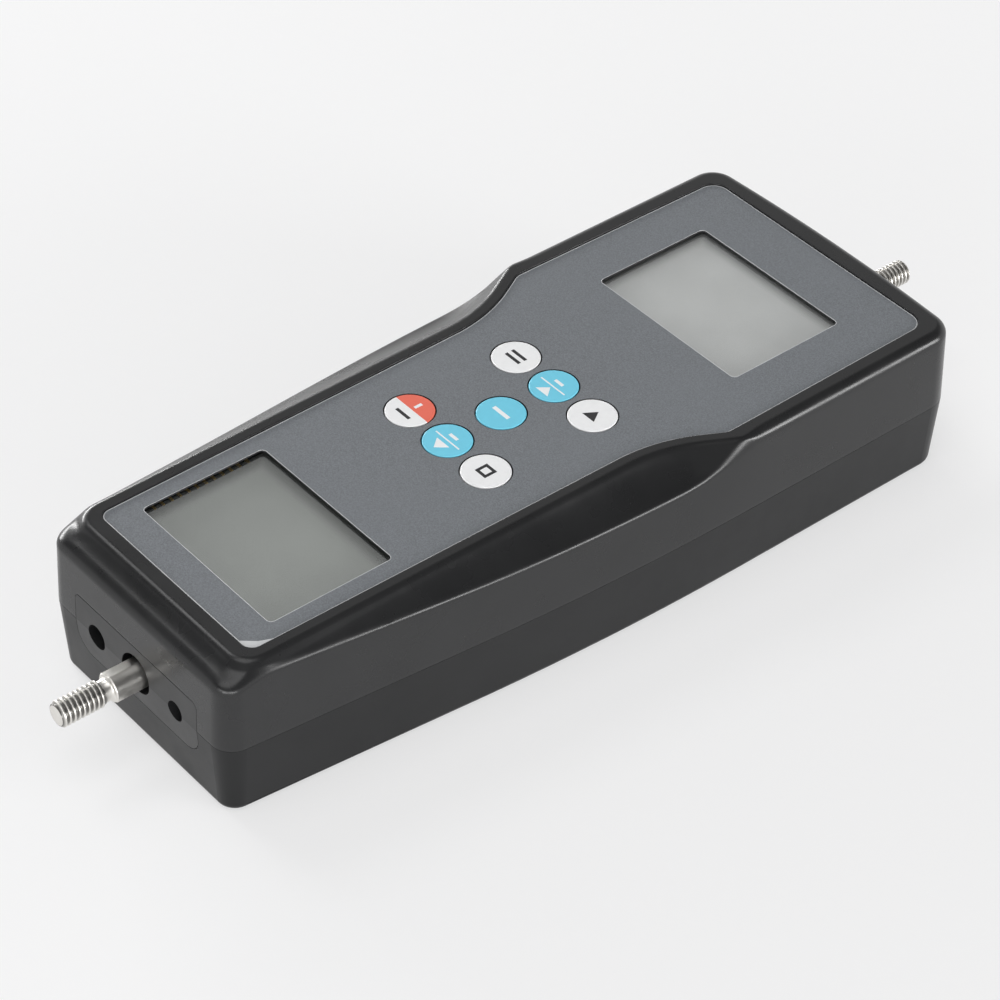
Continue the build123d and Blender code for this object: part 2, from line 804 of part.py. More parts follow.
flange_top_z = plate_under_z - key_flange_gap
flange_bottom_z = flange_top_z - key_flange_thickness
plunger_bottom_z = board_top_z + switch_height - plunger_depth
for name, (key_x, key_y) in key_places.items():
    with BuildPart() as key:
        with Locations((key_x, key_y, flange_bottom_z)):
            Cylinder(key_flange_radius, key_flange_thickness, align=BOTTOM)
            Cylinder(key_radius, panel_top_z + key_proud - flange_bottom_z, align=BOTTOM)
        fillet(key.edges().sort_by(Axis.Z)[-1], key_edge_radius)
    key.part.label = f"key_{name}"
    export_step(key.part, f"parts/key_{name}.step")

    with BuildPart() as plunger:
        with Locations((key_x, key_y, plunger_bottom_z)):
            Cylinder(plunger_radius, flange_bottom_z - plunger_bottom_z, align=BOTTOM)
    plunger.part.label = f"plunger_{name}"
    export_step(plunger.part, f"parts/plunger_{name}.step")

# Sockets behind the end plate, on their own small board
with BuildPart() as charge_socket:
    with BuildSketch(facing_near(socket_face_y)):
        with Locations((-socket_offset, axis_z)):
            Rectangle(socket_width, socket_height)
    extrude(amount=-socket_length)
    with BuildSketch(facing_near(socket_face_y)):
        with Locations((-socket_offset, axis_z)):
            Circle(charge_bore_radius)
    extrude(amount=-socket_bore_length, mode=Mode.SUBTRACT)
    with BuildSketch(facing_near(socket_face_y + charge_pin_set_back)):
        with Locations((-socket_offset, axis_z)):
            Circle(charge_pin_radius)
    extrude(amount=-(socket_bore_length - charge_pin_set_back))
charge_socket.part.label = "charge_socket"
export_step(charge_socket.part, "parts/charge_socket.step")

with BuildPart() as data_socket:
    with BuildSketch(facing_near(socket_face_y)):
        with Locations((socket_offset, axis_z)):
            Rectangle(socket_width, socket_height)
    extrude(amount=-socket_length)
    with BuildSketch(facing_near(socket_face_y)):
        with Locations((socket_offset, axis_z)):
            Circle(data_bore_radius)
    extrude(amount=-socket_bore_length, mode=Mode.SUBTRACT)
data_socket.part.label = "data_socket"
export_step(data_socket.part, "parts/data_socket.step")

with BuildPart() as socket_board:
    with BuildSketch(Plane.XY.offset(socket_board_top_z - board_thickness)):
        with Locations((0, socket_face_y)):
            Rectangle(
                2 * socket_board_half_width, socket_board_length, align=(Align.CENTER, Align.MIN)
            )
        with Locations(*socket_post_places):
            Circle(board_screw_radius + 2 * screw_clearance, mode=Mode.SUBTRACT)
    extrude(amount=board_thickness)
socket_board.part.label = "socket_board"
export_step(socket_board.part, "parts/socket_board.step")

# Measuring rod: thread, relief neck, shank, and the inner thread that screws into the load cell
rod_tip_y = near_y - rod_reach
neck_y = rod_tip_y + thread_length
shank_y = neck_y + neck_length
nut_y = cell_y - nut_thickness
rod_steps = [
    (rod_tip_y, thread_radius - tip_chamfer),
    (rod_tip_y + tip_chamfer, thread_radius),
    (neck_y, thread_radius),
    (neck_y, neck_radius),
    (shank_y, neck_radius),
    (shank_y, shank_radius - tip_chamfer / 2),
    (shank_y + tip_chamfer / 2, shank_radius),
    (nut_y, shank_radius),
    (nut_y, thread_radius),
    (cell_y + rod_depth_in_cell, thread_radius),
]
with BuildPart() as measuring_rod:
    with BuildSketch(Plane.YZ):
        add(bar_profile(rod_steps))
    revolve(axis=Axis((0, 0, axis_z), (0, 1, 0)))
measuring_rod.part.label = "measuring_rod"
export_step(measuring_rod.part, "parts/measuring_rod.step")

with BuildPart() as rod_lock_nut:
    with BuildSketch(facing_near(nut_y)):
        add(nut_outline())
    extrude(amount=-nut_thickness)
rod_lock_nut.part.label = "rod_lock_nut"
export_step(rod_lock_nut.part, "parts/rod_lock_nut.step")

# Load cell: moving bar, flexing middle with its double hole, fixed bar
with BuildPart() as load_cell_head:
    with Locations((0, cell_y, cell_bottom_z)):
        Box(2 * cell_half_width, cell_bar_depth, cell_thickness, align=(Align.CENTER, Align.MIN, Align.MIN))
    with BuildSketch(facing_near(cell_y)):
        with Locations((0, axis_z)):
            Circle(thread_radius + thread_clearance)
    extrude(amount=-cell_bar_depth, mode=Mode.SUBTRACT)
load_cell_head.part.label = "load_cell_head"
export_step(load_cell_head.part, "parts/load_cell_head.step")

link_x = cell_half_width - cell_link_width / 2
with BuildPart() as load_cell_web:
    with BuildSketch(Plane.XY.offset(cell_bottom_z)):
        flexure_middle_y = flexure_y + flexure_depth / 2
        with Locations((0, flexure_middle_y)):
            Rectangle(2 * cell_half_width, flexure_depth)
            Rectangle(2 * flexure_hole_offset, flexure_slot, mode=Mode.SUBTRACT)
        with Locations(*[(side * flexure_hole_offset, flexure_middle_y) for side in (-1, 1)]):
            Circle(flexure_hole_radius, mode=Mode.SUBTRACT)
        with Locations((link_x, flexure_y - cell_slot / 2), (-link_x, cell_base_y - cell_slot / 2)):
            Rectangle(cell_link_width, cell_slot)
    extrude(amount=cell_thickness)
load_cell_web.part.label = "load_cell_web"
export_step(load_cell_web.part, "parts/load_cell_web.step")

with BuildPart() as load_cell_base:
    with Locations((0, cell_base_y, cell_bottom_z)):
        Box(2 * cell_half_width, cell_bar_depth, cell_thickness, align=(Align.CENTER, Align.MIN, Align.MIN))
    with Locations(*at_height(cell_screw_places, cell_bottom_z + cell_thickness)):
        Cylinder(cell_screw_head_radius + screw_clearance, cell_screw_head_height, align=TOP, mode=Mode.SUBTRACT)
        Cylinder(cell_screw_radius + screw_clearance, cell_thickness, align=TOP, mode=Mode.SUBTRACT)
load_cell_base.part.label = "load_cell_base"
export_step(load_cell_base.part, "parts/load_cell_base.step")

with BuildPart() as strain_gauges:
    for face_y, out in ((flexure_y, -1), (flexure_y + flexure_depth, 1)):
        with Locations(
            *[(side * flexure_hole_offset, face_y + out * gauge_foil[2] / 2, axis_z) for side in (-1, 1)]
        ):
            Box(gauge_foil[0], gauge_foil[2], gauge_foil[1])
strain_gauges.part.label = "strain_gauges"
export_step(strain_gauges.part, "parts/strain_gauges.step")

with BuildPart() as load_cell_spacer:
    with Locations((0, cell_base_y, plate_top_z)):
        Box(
            2 * cell_half_width,
            cell_bar_depth,
            cell_bottom_z - plate_top_z,
            align=(Align.CENTER, Align.MIN, Align.MIN),
        )
    with Locations(*at_height(cell_screw_places, plate_top_z)):
        Cylinder(cell_screw_radius + screw_clearance, cell_thickness, mode=Mode.SUBTRACT)
load_cell_spacer.part.label = "load_cell_spacer"
export_step(load_cell_spacer.part, "parts/load_cell_spacer.step")

with BuildPart() as load_cell_screws:
    cell_screw_seat_z = cell_bottom_z + cell_thickness - cell_screw_head_height
    screws(
        cell_screw_places,
        cell_screw_seat_z,
        cell_screw_head_radius,
        cell_screw_head_height,
        cell_screw_radius,
        cell_screw_seat_z - plate_bottom_z,
        up=False,
    )
load_cell_screws.part.label = "load_cell_screws"
export_step(load_cell_screws.part, "parts/load_cell_screws.step")

# Chassis plate that carries the pull from the load cell to the far stud
with BuildPart() as chassis_plate:
    with BuildSketch(Plane.XY.offset(plate_bottom_z)):
        with Locations((0, (plate_near_y + plate_far_y) / 2)):
            RectangleRounded(2 * plate_half_width, plate_far_y - plate_near_y, plate_corner_radius)
        with Locations(*cell_screw_places, *block_screw_places):
            Circle(cell_screw_radius + screw_clearance, mode=Mode.SUBTRACT)
        with Locations(*chassis_post_places):
            Circle(chassis_screw_radius + 2 * screw_clearance, mode=Mode.SUBTRACT)
    extrude(amount=plate_thickness)
chassis_plate.part.label = "chassis_plate"
export_step(chassis_plate.part, "parts/chassis_plate.step")

with BuildPart() as chassis_screws:
    screws(
        chassis_post_places,
        plate_top_z,
        case_screw_head_radius,
        case_screw_head_height,
        chassis_screw_radius,
        chassis_screw_length,
        up=False,
    )
chassis_screws.part.label = "chassis_screws"
export_step(chassis_screws.part, "parts/chassis_screws.step")

with BuildPart() as stud_block:
    with Locations((0, block_near_y, plate_top_z)):
        Box(2 * block_half_width, block_depth, block_height, align=(Align.CENTER, Align.MIN, Align.MIN))
    with BuildSketch(facing_near(block_near_y)):
        with Locations((0, axis_z)):
            Circle(thread_radius + thread_clearance)
    extrude(amount=-block_depth, mode=Mode.SUBTRACT)
    with Locations(*at_height(block_screw_places, plate_top_z)):
        Cylinder(cell_screw_radius + screw_clearance, block_height / 2, align=BOTTOM, mode=Mode.SUBTRACT)
stud_block.part.label = "stud_block"
export_step(stud_block.part, "parts/stud_block.step")

with BuildPart() as stud_block_screws:
    screws(
        block_screw_places,
        plate_bottom_z,
        cell_screw_head_radius,
        cell_screw_head_height / 2,
        cell_screw_radius,
        plate_thickness + block_height / 2 - 0.5,
        up=True,
    )
stud_block_screws.part.label = "stud_block_screws"
export_step(stud_block_screws.part, "parts/stud_block_screws.step")

# Hanging stud at the far end, shaped as the measuring rod is and held in the block by a nut
stud_tip_y = far_y + stud_reach
stud_neck_y = stud_tip_y - thread_length
stud_shank_y = stud_neck_y - neck_length
stud_nut_y = block_near_y - nut_thickness
stud_steps = [
    (stud_nut_y - 1.5, thread_radius),
    (block_far_y, thread_radius),
    (block_far_y, shank_radius),
    (stud_shank_y - tip_chamfer / 2, shank_radius),
    (stud_shank_y, shank_radius - tip_chamfer / 2),
    (stud_shank_y, neck_radius),
    (stud_neck_y, neck_radius),
    (stud_neck_y, thread_radius),
    (stud_tip_y - tip_chamfer, thread_radius),
    (stud_tip_y, thread_radius - tip_chamfer),
]
with BuildPart() as hanging_stud:
    with BuildSketch(Plane.YZ):
        add(bar_profile(stud_steps))
    revolve(axis=Axis((0, 0, axis_z), (0, 1, 0)))
hanging_stud.part.label = "hanging_stud"
export_step(hanging_stud.part, "parts/hanging_stud.step")

with BuildPart() as stud_nut:
    with BuildSketch(facing_near(stud_nut_y)):
        add(nut_outline())
    extrude(amount=-nut_thickness)
stud_nut.part.label = "stud_nut"
export_step(stud_nut.part, "parts/stud_nut.step")

# Battery: four rechargeable cells in a cradle on the chassis plate
cell_axis_z = plate_top_z + cradle_floor + cell_radius + cradle_clearance / 2
cell_xs = [(i - (cell_count - 1) / 2) * cell_pitch for i in range(cell_count)]
with BuildPart() as battery_cells:
    for i, cell_x in enumerate(cell_xs):
        cap_side = -1 if i % 2 else 1
        with BuildSketch(facing_near(battery_y - (cell_length - terminal_height * (1 + cap_side)) / 2)):
            with Locations((cell_x, cell_axis_z)):
                Circle(cell_radius)
        extrude(amount=-(cell_length - terminal_height))
        with BuildSketch(facing_near(battery_y - cap_side * cell_length / 2)):
            with Locations((cell_x, cell_axis_z)):
                Circle(terminal_radius)
        extrude(amount=-cap_side * terminal_height)
battery_cells.part.label = "battery_cells"
export_step(battery_cells.part, "parts/battery_cells.step")

with BuildPart() as battery_cradle:
    cradle_width = (cell_count - 1) * cell_pitch + 2 * (cell_radius + cradle_clearance) + 2 * cradle_wall
    cradle_length = cell_length + 2 * (cradle_clearance + cradle_wall)
    with Locations((0, battery_y, plate_top_z)):
        Box(cradle_width, cradle_length, cradle_wall_height, align=BOTTOM)
    with Locations((0, battery_y, plate_top_z + cradle_saddle_height)):
        Box(
            cradle_width - 2 * cradle_wall,
            cell_length + 2 * cradle_clearance,
            cradle_wall_height,
            align=BOTTOM,
            mode=Mode.SUBTRACT,
        )
    with BuildSketch(facing_near(battery_y - cell_length / 2 - cradle_clearance)):
        with Locations(*[(x, cell_axis_z) for x in cell_xs]):
            Circle(cell_radius + cradle_clearance / 2)
    extrude(amount=-(cell_length + 2 * cradle_clearance), mode=Mode.SUBTRACT)
battery_cradle.part.label = "battery_cradle"
export_step(battery_cradle.part, "parts/battery_cradle.step")

# Amplifier board for the strain gauges, on four pillars
with BuildPart() as board_pillars:
    with Locations(*at_height(pillar_places, plate_top_z)):
        Cylinder(pillar_radius, amplifier_lift, align=BOTTOM)
board_pillars.part.label = "board_pillars"
export_step(board_pillars.part, "parts/board_pillars.step")

with BuildPart() as amplifier_board:
    with Locations((0, amplifier_y, plate_top_z + amplifier_lift)):
        Box(amplifier_size[0], amplifier_size[1], board_thickness, align=BOTTOM)
amplifier_board.part.label = "amplifier_board"
export_step(amplifier_board.part, "parts/amplifier_board.step")

with BuildPart() as amplifier_chips:
    amplifier_top_z = plate_top_z + amplifier_lift + board_thickness
    for chip_place, chip_size in (
        (converter_place, converter_size),
        (reference_place, reference_size),
        (gauge_plug_place, gauge_plug_size),
    ):
        with Locations((chip_place[0], amplifier_y + chip_place[1], amplifier_top_z)):
            Box(*chip_size, align=BOTTOM)
amplifier_chips.part.label = "amplifier_chips"
export_step(amplifier_chips.part, "parts/amplifier_chips.step")

# Fasteners of the case and threaded inserts in its back
with BuildPart() as case_screws:
    screws(
        case_post_places,
        case_screw_recess_depth,
        case_screw_head_radius,
        case_screw_head_height,
        case_screw_radius,
        case_screw_length,
        up=True,
    )
case_screws.part.label = "case_screws"
export_step(case_screws.part, "parts/case_screws.step")

with BuildPart() as mount_inserts:
    with Locations(*at_height(insert_places, 0.0)):
        Cylinder(insert_radius, insert_length, align=BOTTOM)
        Cylinder(insert_bore_radius, insert_length, align=BOTTOM, mode=Mode.SUBTRACT)
mount_inserts.part.label = "mount_inserts"
export_step(mount_inserts.part, "parts/mount_inserts.step")
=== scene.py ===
"""Looks of a hand-held digital force gauge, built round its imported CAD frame.

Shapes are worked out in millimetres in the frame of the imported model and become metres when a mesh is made.
"""

import json
import logging
import math
from dataclasses import dataclass, field
from enum import Enum
from typing import Sequence

import bmesh
import bpy
import numpy as np
from mathutils import Matrix, Vector


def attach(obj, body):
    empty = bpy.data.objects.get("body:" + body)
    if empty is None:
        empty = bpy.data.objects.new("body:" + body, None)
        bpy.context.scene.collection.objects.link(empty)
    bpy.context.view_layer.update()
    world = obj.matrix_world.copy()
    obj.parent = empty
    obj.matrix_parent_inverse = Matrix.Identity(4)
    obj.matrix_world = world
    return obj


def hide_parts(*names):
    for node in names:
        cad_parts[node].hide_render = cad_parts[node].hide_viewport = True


LOG = logging.getLogger("force_gauge")
MM = 0.001
KEY_PITCH_X = 12.87
KEY_PITCH_Y = 14.86
QUARTER = np.linspace(0.0, math.pi / 2, 9)
Array = np.ndarray

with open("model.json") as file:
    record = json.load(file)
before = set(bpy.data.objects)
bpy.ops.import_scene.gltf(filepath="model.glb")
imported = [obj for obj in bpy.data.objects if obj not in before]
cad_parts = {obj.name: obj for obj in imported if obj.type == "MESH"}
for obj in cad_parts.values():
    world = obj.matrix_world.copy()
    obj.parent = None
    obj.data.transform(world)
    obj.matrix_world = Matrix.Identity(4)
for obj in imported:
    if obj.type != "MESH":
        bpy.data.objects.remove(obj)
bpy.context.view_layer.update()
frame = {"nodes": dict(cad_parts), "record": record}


class Body(Enum):
    """Bodies of the frame that the pieces ride on."""

    INSTRUMENT = "instrument"
    MEASURING = "measuring_chain"


class KeyPlace(Enum):
    """Places of the seven keys, as columns and rows from the middle key."""

    UPPER_LEFT = (-1, 1)
    UPPER_MIDDLE = (0, 1)
    UPPER_RIGHT = (1, 1)
    CENTRE = (0, 0)
    LOWER_LEFT = (-1, -1)
    LOWER_MIDDLE = (0, -1)
    LOWER_RIGHT = (1, -1)


class NodeTree:
    """Node tree of one material or of the world, with short calls to add and join nodes."""

    def __init__(self, name: str, world: bool = False) -> None:
        """Start an empty material or world of that name with its output node."""
        self.owner = (bpy.data.worlds if world else bpy.data.materials).new(name)
        self.owner.use_nodes = True
        self.tree = self.owner.node_tree
        self.tree.nodes.clear()
        self.output = self.add("OutputWorld" if world else "OutputMaterial")

    def add(self, kind: str, inputs: dict | None = None, **settings: object) -> bpy.types.Node:
        """Add a node.

        Args:
            kind: Blender's node type without its ShaderNode prefix.
            inputs: socket name or index to a constant, or to a socket that feeds it.
            settings: attributes of the node itself.

        Returns:
            The new node.
        """
        node = self.tree.nodes.new("ShaderNode" + kind)
        for key, value in settings.items():
            setattr(node, key, value)
        for key, value in (inputs or {}).items():
            if isinstance(value, bpy.types.NodeSocket):
                self.tree.links.new(value, node.inputs[key])
            else:
                node.inputs[key].default_value = value
        return node

    def place(self) -> bpy.types.NodeSocket:
        """Object coordinates in metres; returns the vector socket."""
        return self.add("TexCoord").outputs["Object"]

    def axes(self) -> bpy.types.bpy_prop_collection:
        """Object coordinates taken apart; returns the sockets X, Y and Z."""
        return self.add("SeparateXYZ", {0: self.place()}).outputs

    def noise(self, scale: float, detail: float = 3.0, roughness: float = 0.55) -> bpy.types.NodeSocket:
        """Noise on object coordinates at so many cells per metre; returns its value socket."""
        inputs = {"Vector": self.place(), "Scale": scale, "Detail": detail, "Roughness": roughness}
        return self.add("TexNoise", inputs).outputs["Fac"]

    def spread(self, value: bpy.types.NodeSocket, low: float, high: float, middle: float = 0.5,
               width: float = 0.3) -> bpy.types.NodeSocket:
        """Stretch a value around its middle on to the range from low to high; returns the new value."""
        half = width / 2
        made = self.add("MapRange", {"Value": value, "From Min": middle - half, "From Max": middle + half,
                                     "To Min": low, "To Max": high})
        return made.outputs["Result"]

    def blend(self, share: bpy.types.NodeSocket, first: Sequence[float],
              second: Sequence[float]) -> bpy.types.NodeSocket:
        """Mix two colours by a share; returns the colour socket."""
        made = self.add("Mix", {"Factor": share}, data_type="RGBA")
        for slot_index, colour in ((6, first), (7, second)):
            if isinstance(colour, bpy.types.NodeSocket):
                self.tree.links.new(colour, made.inputs[slot_index])
            else:
                made.inputs[slot_index].default_value = (*colour, 1.0)
        return made.outputs[2]

    def math(self, operation: str, *values: object) -> bpy.types.NodeSocket:
        """Join values by one arithmetic operation; returns its value socket."""
        made = self.add("Math", dict(enumerate(values)), operation=operation)
        return made.outputs[0]

    def bump(self, height: bpy.types.NodeSocket, depth_mm: float) -> bpy.types.NodeSocket:
        """Turn a height from 0 to 1 into a surface normal, depth_mm deep; returns the normal socket."""
        made = self.add("Bump", {"Height": height, "Strength": 1.0, "Distance": depth_mm * MM})
        return made.outputs["Normal"]

    def finish(self, shader: bpy.types.Node) -> bpy.types.Material | bpy.types.World:
        """Join the shader to the output; returns the material or the world."""
        self.tree.links.new(shader.outputs[0], self.output.inputs["Surface"])
        return self.owner

    def principled(self, inputs: dict) -> bpy.types.Material:
        """Finish with one principled surface shader; returns the material."""
        return self.finish(self.add("BsdfPrincipled", inputs))


def toned(colour: Sequence[float], factor: float) -> tuple[float, ...]:
    """A colour made darker or paler by a factor."""
    return tuple(factor * c for c in colour)


@dataclass(frozen=True)
class MouldedPlastic:
    """Injection-moulded plastic with a fine spark-eroded grain."""

    name: str
    colour: tuple[float, float, float]
    roughness: float = 0.45
    grain_mm: float = 0.22
    depth_mm: float = 0.006
    level: float = 0.5
    tone_cells: float = 28.0
    gloss_cells: float = 90.0

    def material(self) -> bpy.types.Material:
        """Grain as fine noise bump, broad faint changes of tone and gloss; returns the material."""
        tree = NodeTree(self.name)
        grain = tree.noise(1.0 / (self.grain_mm * MM), 2.0)
        broad = tree.noise(self.tone_cells, 4.0)
        pale = tuple(min(1.0, 1.10 * c + 0.002) for c in self.colour)
        colour = tree.blend(tree.spread(broad, 0.0, 1.0), toned(self.colour, 0.92), pale)
        gloss = tree.spread(tree.noise(self.gloss_cells), self.roughness - 0.04, self.roughness + 0.05)
        return tree.principled({
            "Base Color": colour,
            "Roughness": gloss,
            "Specular IOR Level": self.level,
            "Normal": tree.bump(grain, self.depth_mm),
        })


@dataclass(frozen=True)
class GrainedPanel:
    """Thin panel, grey lacquer with a fine speckle on top, and painted shade on the upright walls where it is
    cut.
    """

    name: str
    colour: tuple[float, float, float]
    wall_shade_colour: tuple[float, float, float]
    speckle_mm: float = 0.30
    cloud_cells: float = 34.0

    def material(self) -> bpy.types.Material:
        """Speckle by fine noise, and painted shade on the cut edge where the surface stands upright; returns
        the material.
        """
        tree = NodeTree(self.name)
        speckle = tree.noise(1.0 / (self.speckle_mm * MM), 3.0, 0.7)
        cloudy = tree.noise(self.cloud_cells, 4.0, 0.6)
        grey = tree.blend(tree.spread(speckle, 0.0, 1.0), toned(self.colour, 0.74), toned(self.colour, 1.28))
        clouded = tree.blend(tree.spread(cloudy, 0.0, 0.35), grey, toned(self.colour, 1.10))
        # Painted shade: the upright cut walls take a dark colour instead of the lacquer, as if in shadow.
        level = tree.add("SeparateXYZ", {0: tree.add("NewGeometry").outputs["Normal"]}).outputs["Z"]
        top = tree.spread(tree.math("ABSOLUTE", level), 0.0, 1.0, 0.5, 0.2)
        colour = tree.blend(top, self.wall_shade_colour, clouded)
        return tree.principled({
            "Base Color": colour,
            "Roughness": tree.spread(speckle, 0.42, 0.56),
            "Specular IOR Level": 0.45,
            "Normal": tree.bump(speckle, 0.004),
        })


@dataclass(frozen=True)
class ClearSheet:
    """Thin clear window sheet that lets light through and mirrors a little at low angles."""

    name: str
    tint: tuple[float, float, float]
    index: float = 1.45
    shine: float = 0.22

    def material(self) -> bpy.types.Material:
        """A tinted passage with a gloss on it that grows with the Fresnel share; returns the material."""
        tree = NodeTree(self.name)
        passing = tree.add("BsdfTransparent", {"Color": (*self.tint, 1.0)})
        film = tree.noise(60.0)
        gloss = tree.add("BsdfGlossy", {"Roughness": tree.spread(film, 0.05, 0.12)})
        share = tree.add("Fresnel", {"IOR": self.index})
        thin = tree.math("MULTIPLY", share.outputs[0], self.shine)
        return tree.finish(tree.add("MixShader", {0: thin, 1: passing.outputs[0], 2: gloss.outputs[0]}))


@dataclass(frozen=True)
class DisplayGlass:
    """Display cell: a polariser film under glass, with faint clouding and a painted shadow of the window's
    recess along the left and far sides.
    """

    name: str
    colour: tuple[float, float, float]
    middle: tuple[float, float]
    half: tuple[float, float]
    shadow_reach: float = 4.5
    shadow_tone: float = 0.3

    def material(self) -> bpy.types.Material:
        """Film colour with slow clouding under a smooth coat; returns the material.

        A painted shadow of the window's recess darkens the film, and it fades out with the smaller of the
        distances from the left and the far edge, over the shadow's reach.
        """
        tree = NodeTree(self.name)
        cloud = tree.noise(40.0)
        fine = tree.noise(2600.0, 2.0)
        pale = toned(self.colour, 1.06)
        tone = tree.blend(tree.spread(cloud, 0.0, 1.0), toned(self.colour, 0.93), pale)
        film = tree.blend(tree.spread(fine, 0.0, 0.18), tone, pale)
        # Painted shadow of the window's recess: the film darkens towards the left and far edges and clears
        # inwards.
        place = tree.axes()
        from_left = tree.math("SUBTRACT", place["X"], (self.middle[0] - self.half[0]) * MM)
        from_far = tree.math("SUBTRACT", (self.middle[1] + self.half[1]) * MM, place["Y"])
        nearest = tree.math("MINIMUM", from_left, from_far)
        clear = tree.add("MapRange", {"Value": nearest, "From Min": 0.0, "From Max": self.shadow_reach * MM},
                         interpolation_type="SMOOTHSTEP").outputs["Result"]
        colour = tree.blend(clear, toned(self.colour, self.shadow_tone), film)
        return tree.principled({
            "Base Color": colour,
            "Roughness": tree.spread(fine, 0.42, 0.5),
            "Specular IOR Level": 0.3,
            "Coat Weight": 0.08,
            "Coat Roughness": 0.08,
        })


@dataclass(frozen=True)
class ThreadShade:
    """Where the outer threads' grooves lie round the measuring axis, in millimetres, and how dark the painted
    shade in them is.
    """

    face: float = 2.3
    root: float = 2.4
    crest: float = 2.95
    axis_z: float = 18.2
    from_y: float = 109.4
    shade: float = 0.22


@dataclass(frozen=True)
class TurnedMetal:
    """Bright metal with the fine rings that turning leaves round the measuring axis, and painted shade in a
    thread's grooves where one is given.
    """

    name: str
    colour: tuple[float, float, float]
    roughness: float = 0.2
    ring_mm: float = 0.12
    depth_mm: float = 0.0015
    stain: float = 0.25
    thread: ThreadShade | None = None

    def material(self) -> bpy.types.Material:
        """Rings along Y as a bump, faint stains that dull the gloss, and painted shade in the thread's
        grooves; returns the material.
        """
        tree = NodeTree(self.name)
        scale = (40.0, 1.0 / (self.ring_mm * MM), 40.0)
        squeezed = tree.add("Mapping", {"Vector": tree.place(), "Scale": scale})
        rings = tree.add("TexNoise", {"Vector": squeezed.outputs[0], "Scale": 1.0, "Detail": 2.0})
        stain = tree.noise(420.0)
        colour = tree.blend(tree.spread(stain, 0.0, 1.0), self.colour, toned(self.colour, 1.0 - self.stain))
        if self.thread is not None:
            # Painted shade: the colour darkens into the thread's grooves, where shadow falls.
            groove = self.groove(tree, self.thread)
            colour = tree.blend(groove, colour, toned(self.colour, self.thread.shade))
        return tree.principled({
            "Base Color": colour,
            "Metallic": 1.0,
            "Roughness": tree.spread(stain, self.roughness - 0.05, self.roughness + 0.08),
            "Normal": tree.bump(rings.outputs["Fac"], self.depth_mm),
        })

    def groove(self, tree: NodeTree, thread: ThreadShade) -> bpy.types.NodeSocket:
        """Share of groove at each point of a threaded bar, which sets how much painted shade the colour gets
        there.

        It rises from the crest radius down to the root radius round the measuring axis, beyond from_y on both
        ends, and leaves out the round face at the tip.

        Args:
            tree: the metal's node tree.
            thread: where the grooves lie.

        Returns:
            The share's socket.
        """
        place = tree.axes()
        rise = tree.math("SUBTRACT", place["Z"], thread.axis_z * MM)
        across = tree.math("MULTIPLY", place["X"], place["X"])
        away = tree.math("SQRT", tree.math("ADD", across, tree.math("MULTIPLY", rise, rise)))
        crest, root = thread.crest * MM, thread.root * MM
        deep = tree.add("MapRange", {"Value": away, "From Min": crest, "From Max": root})
        outer = tree.math("GREATER_THAN", tree.math("ABSOLUTE", place["Y"]), thread.from_y * MM)
        beyond_face = tree.math("GREATER_THAN", away, thread.face * MM)
        return tree.math("MULTIPLY", deep.outputs["Result"], tree.math("MULTIPLY", outer, beyond_face))


@dataclass(frozen=True)
class SmoothKey:
    """Key cap colour, with a second colour on the side of the reader's upper half where it has one."""

    name: str
    colour: tuple[float, float, float]
    upper_colour: tuple[float, float, float] | None = None
    split_y: float = 0.0

    def material(self) -> bpy.types.Material:
        """One or two even colours with a satin gloss and faint wear; returns the material."""
        tree = NodeTree(self.name)
        wear = tree.noise(700.0, 4.0)
        colour = tree.blend(tree.spread(wear, 0.0, 1.0, 0.5, 0.5), self.colour, toned(self.colour, 0.95))
        if self.upper_colour is not None:
            upper = tree.math("GREATER_THAN", tree.axes()["Y"], self.split_y * MM)
            colour = tree.blend(upper, colour, self.upper_colour)
        return tree.principled({
            "Base Color": colour,
            "Roughness": tree.spread(wear, 0.42, 0.5),
            "Specular IOR Level": 0.4,
        })


@dataclass(frozen=True)
class CircuitLaminate:
    """Green solder mask over tracks that run across and along the board."""

    name: str
    mask: tuple[float, float, float] = (0.012, 0.11, 0.045)
    track: tuple[float, float, float] = (0.03, 0.21, 0.09)
    cells: float = 260.0

    def material(self) -> bpy.types.Material:
        """Tracks by squared cell noise on a coarse grid under a glossy mask; returns the material."""
        tree = NodeTree(self.name)
        cells = tree.add("TexVoronoi", {"Vector": tree.place(), "Scale": self.cells}, distance="MANHATTAN")
        on_track = tree.spread(cells.outputs["Distance"], 1.0, 0.0, 0.34, 0.06)
        colour = tree.blend(on_track, self.mask, self.track)
        return tree.principled({
            "Base Color": colour,
            "Roughness": 0.3,
            "Coat Weight": 0.4,
            "Normal": tree.bump(on_track, 0.03),
        })


@dataclass(frozen=True)
class CellSleeve:
    """Shrink sleeve of the rechargeable cells, with a paler band and bare ends."""

    name: str
    sleeve: tuple[float, float, float]
    band: tuple[float, float, float]
    middle_y: float
    half_length: float
    plain_share: float = 0.55
    bare_end: float = 0.9
    bare_colour: tuple[float, float, float] = (0.62, 0.62, 0.63)

    def material(self) -> bpy.types.Material:
        """Colours by the distance from the battery's middle along Y; returns the material."""
        tree = NodeTree(self.name)
        away = tree.math("ABSOLUTE", tree.math("SUBTRACT", tree.axes()["Y"], self.middle_y * MM))
        banded = tree.math("GREATER_THAN", away, self.plain_share * self.half_length * MM)
        bare = tree.math("GREATER_THAN", away, (self.half_length - self.bare_end) * MM)
        wrinkle = tree.noise(900.0)
        colour = tree.blend(bare, tree.blend(banded, self.sleeve, self.band), self.bare_colour)
        return tree.principled({
            "Base Color": colour,
            "Metallic": bare,
            "Roughness": tree.spread(wrinkle, 0.28, 0.4),
            "Normal": tree.bump(wrinkle, 0.01),
        })


